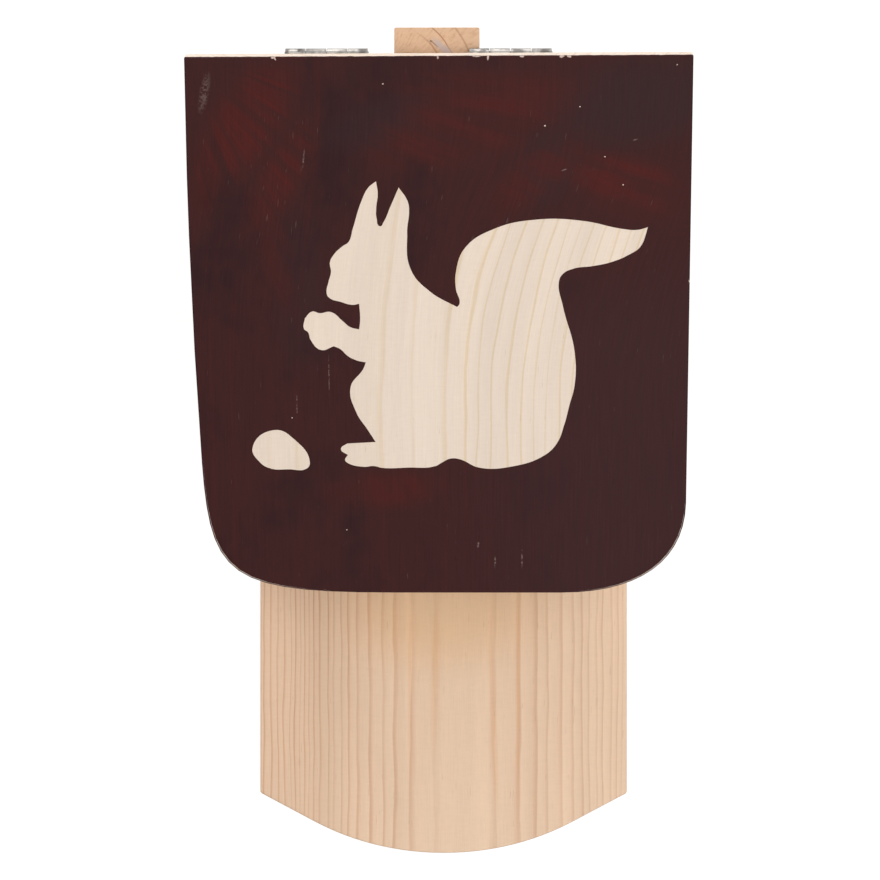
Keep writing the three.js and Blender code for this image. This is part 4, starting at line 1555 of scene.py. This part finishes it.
def hinge_pin(hinge):
    """One pin. Its rounded end is given as shares of its radius: how wide, and how far inwards."""
    node = f"{hinge}_hinge_pin"
    low, high = roof_box(node)
    half = (high.x - low.x) / 2
    end_rings = [(PIN_RADIUS * wide, PIN_RADIUS * inward) for wide, inward in PIN_END]
    rings = [(radius, half - inward) for radius, inward in end_rings]
    rings += [(radius, inward - half) for radius, inward in reversed(end_rings)]
    pin = turned(node + "_steel", SCREW_SIDES, rings)
    settle(pin, Matrix.Rotation(QUARTER_TURN, 4, "Y"))
    settle(pin, ROOF @ Matrix.Translation(((low.x + high.x) / 2, 0, 0)))
    return shade(pin), node


print("hinge pin in mm:", 2 * PIN_RADIUS / MM)

# %% [markdown]
# Zinc plate is a bright metal that dulls unevenly to a warm grey. The outer knuckles of these
# hinges are painted dark, as painted shade and dark reflections on the rolled steel. The right
# hinge is a little darker all over, and the rolled sheet shows fine lines along its length. The
# screws are brighter and a shade yellower.

# %% Steel
ZINC = colour(162, 158, 153)
ZINC_DULL = colour(134, 130, 127)
ZINC_DARK = colour(66, 62, 60)
SCREW_BRIGHT = colour(190, 182, 165)
SCREW_DULL = colour(156, 148, 130)
ROLLING_DEPTH = mm(0.03)
ROLLING_STRENGTH = 0.25
STEEL_RUBBED_REACH = mm(0.3)
# Painted shade on the four outer knuckles, and one stroke that makes the right hinge a little darker all over.
KNUCKLE_SHADE_AND_DARKENING = [
    (-52, 0, 0, 5.5, 6, 0.75), (-27.5, 0, 0, 2.6, 6, 0.55), (15, 0, 0, 5, 6, 0.8),
    (37, 0, 0, 3, 6, 0.6), (26, 0, 0, 16, 8, 0.3),
]


def steel(name, bright, dull, dark_share, roughness, knuckle_shade_and_darkening=()):
    """Plated steel: bright and dull patches, fine rolling lines, dark spots, and any strokes painted darker, such
    as painted shade on the hinges' outer knuckles.
    """
    material, tree, surface = new_material(name)
    point, _ = board_point(tree, LID_TURN, LID_SHIFT)
    patches = noise(tree, point, 0.32, 2.0, 0.55)
    lines = noise(tree, stretch(tree, point, 0.4, 7.0, 7.0), 1.0)
    spots = noise(tree, point, 1.6, 3.0, 0.7)
    tint = mix(tree, step(tree, patches, 0.4, 0.65), bright, dull)
    tint = mix(tree, times(tree, step(tree, spots, 0.55, 0.7), dark_share), tint, ZINC_DARK)
    # Strokes painted darker: painted shade on the outer knuckles, and the right hinge a little darker all over.
    uneven = times(tree, strokes(tree, point, knuckle_shade_and_darkening), step(tree, patches, 0.35, 0.6))
    tint = mix(tree, uneven, tint, ZINC_DARK)
    edges = use_group(tree, rubbed_edge, {"Point": point, "Reach": STEEL_RUBBED_REACH})
    tint = mix(tree, times(tree, edges["Rubbed"], 0.5), tint, ZINC)
    rough = step(tree, patches, 0.3, 0.7, roughness, roughness + 0.18)
    rough = plus(tree, rough, times(tree, lines, 0.08))
    feeds = {"Base Color": tint, "Metallic": 1.0, "Roughness": rough}
    end_material(tree, surface, feeds, lines, ROLLING_STRENGTH, ROLLING_DEPTH)
    return material


hinge_steel = steel("hinge_steel", ZINC, ZINC_DULL, dark_share=0.15, roughness=0.4, knuckle_shade_and_darkening=KNUCKLE_SHADE_AND_DARKENING)
screw_steel = steel("screw_steel", SCREW_BRIGHT, SCREW_DULL, dark_share=0.2, roughness=0.3)

for hinge in SIDES:
    for part, face, body in (("box", -1, "box"), ("lid", 1, "lid")):
        leaf, node = hinge_leaf(hinge, part, face)
        hand_over(leaf, body, [node], "hinge_steel", hinge_steel)
    pin, node = hinge_pin(hinge)
    hand_over(pin, "box", [node], "hinge_steel", hinge_steel)

# %% [markdown]
# Each kind of screw is modelled once. Every screw on the feeder is a copy with its own mesh, set
# at its CAD node's head and turned by a chance angle, since no one drives screws in line. The
# chance numbers start from a fixed seed, so the scene is the same on each run.

# %% Screws
SCREW_SEED = 7
chance = random.Random(SCREW_SEED)
patterns = {}
for node, (size, outward, body) in screws.items():
    kind = (size["head"], size["length"])
    if kind not in patterns:
        patterns[kind] = screw_pattern("screw_pattern", size)
    screw = bpy.data.objects.new(node + "_steel", patterns[kind].data.copy())
    screw.data.name = screw.name
    bpy.context.scene.collection.objects.link(screw)
    settle(screw, aim(head_place(node, outward), outward, chance.uniform(0, QUARTER_TURN)))
    hand_over(screw, body, [node], "zinc_screws", screw_steel)
for pattern in patterns.values():
    bpy.data.objects.remove(pattern)
print("screw patterns:", len(patterns))
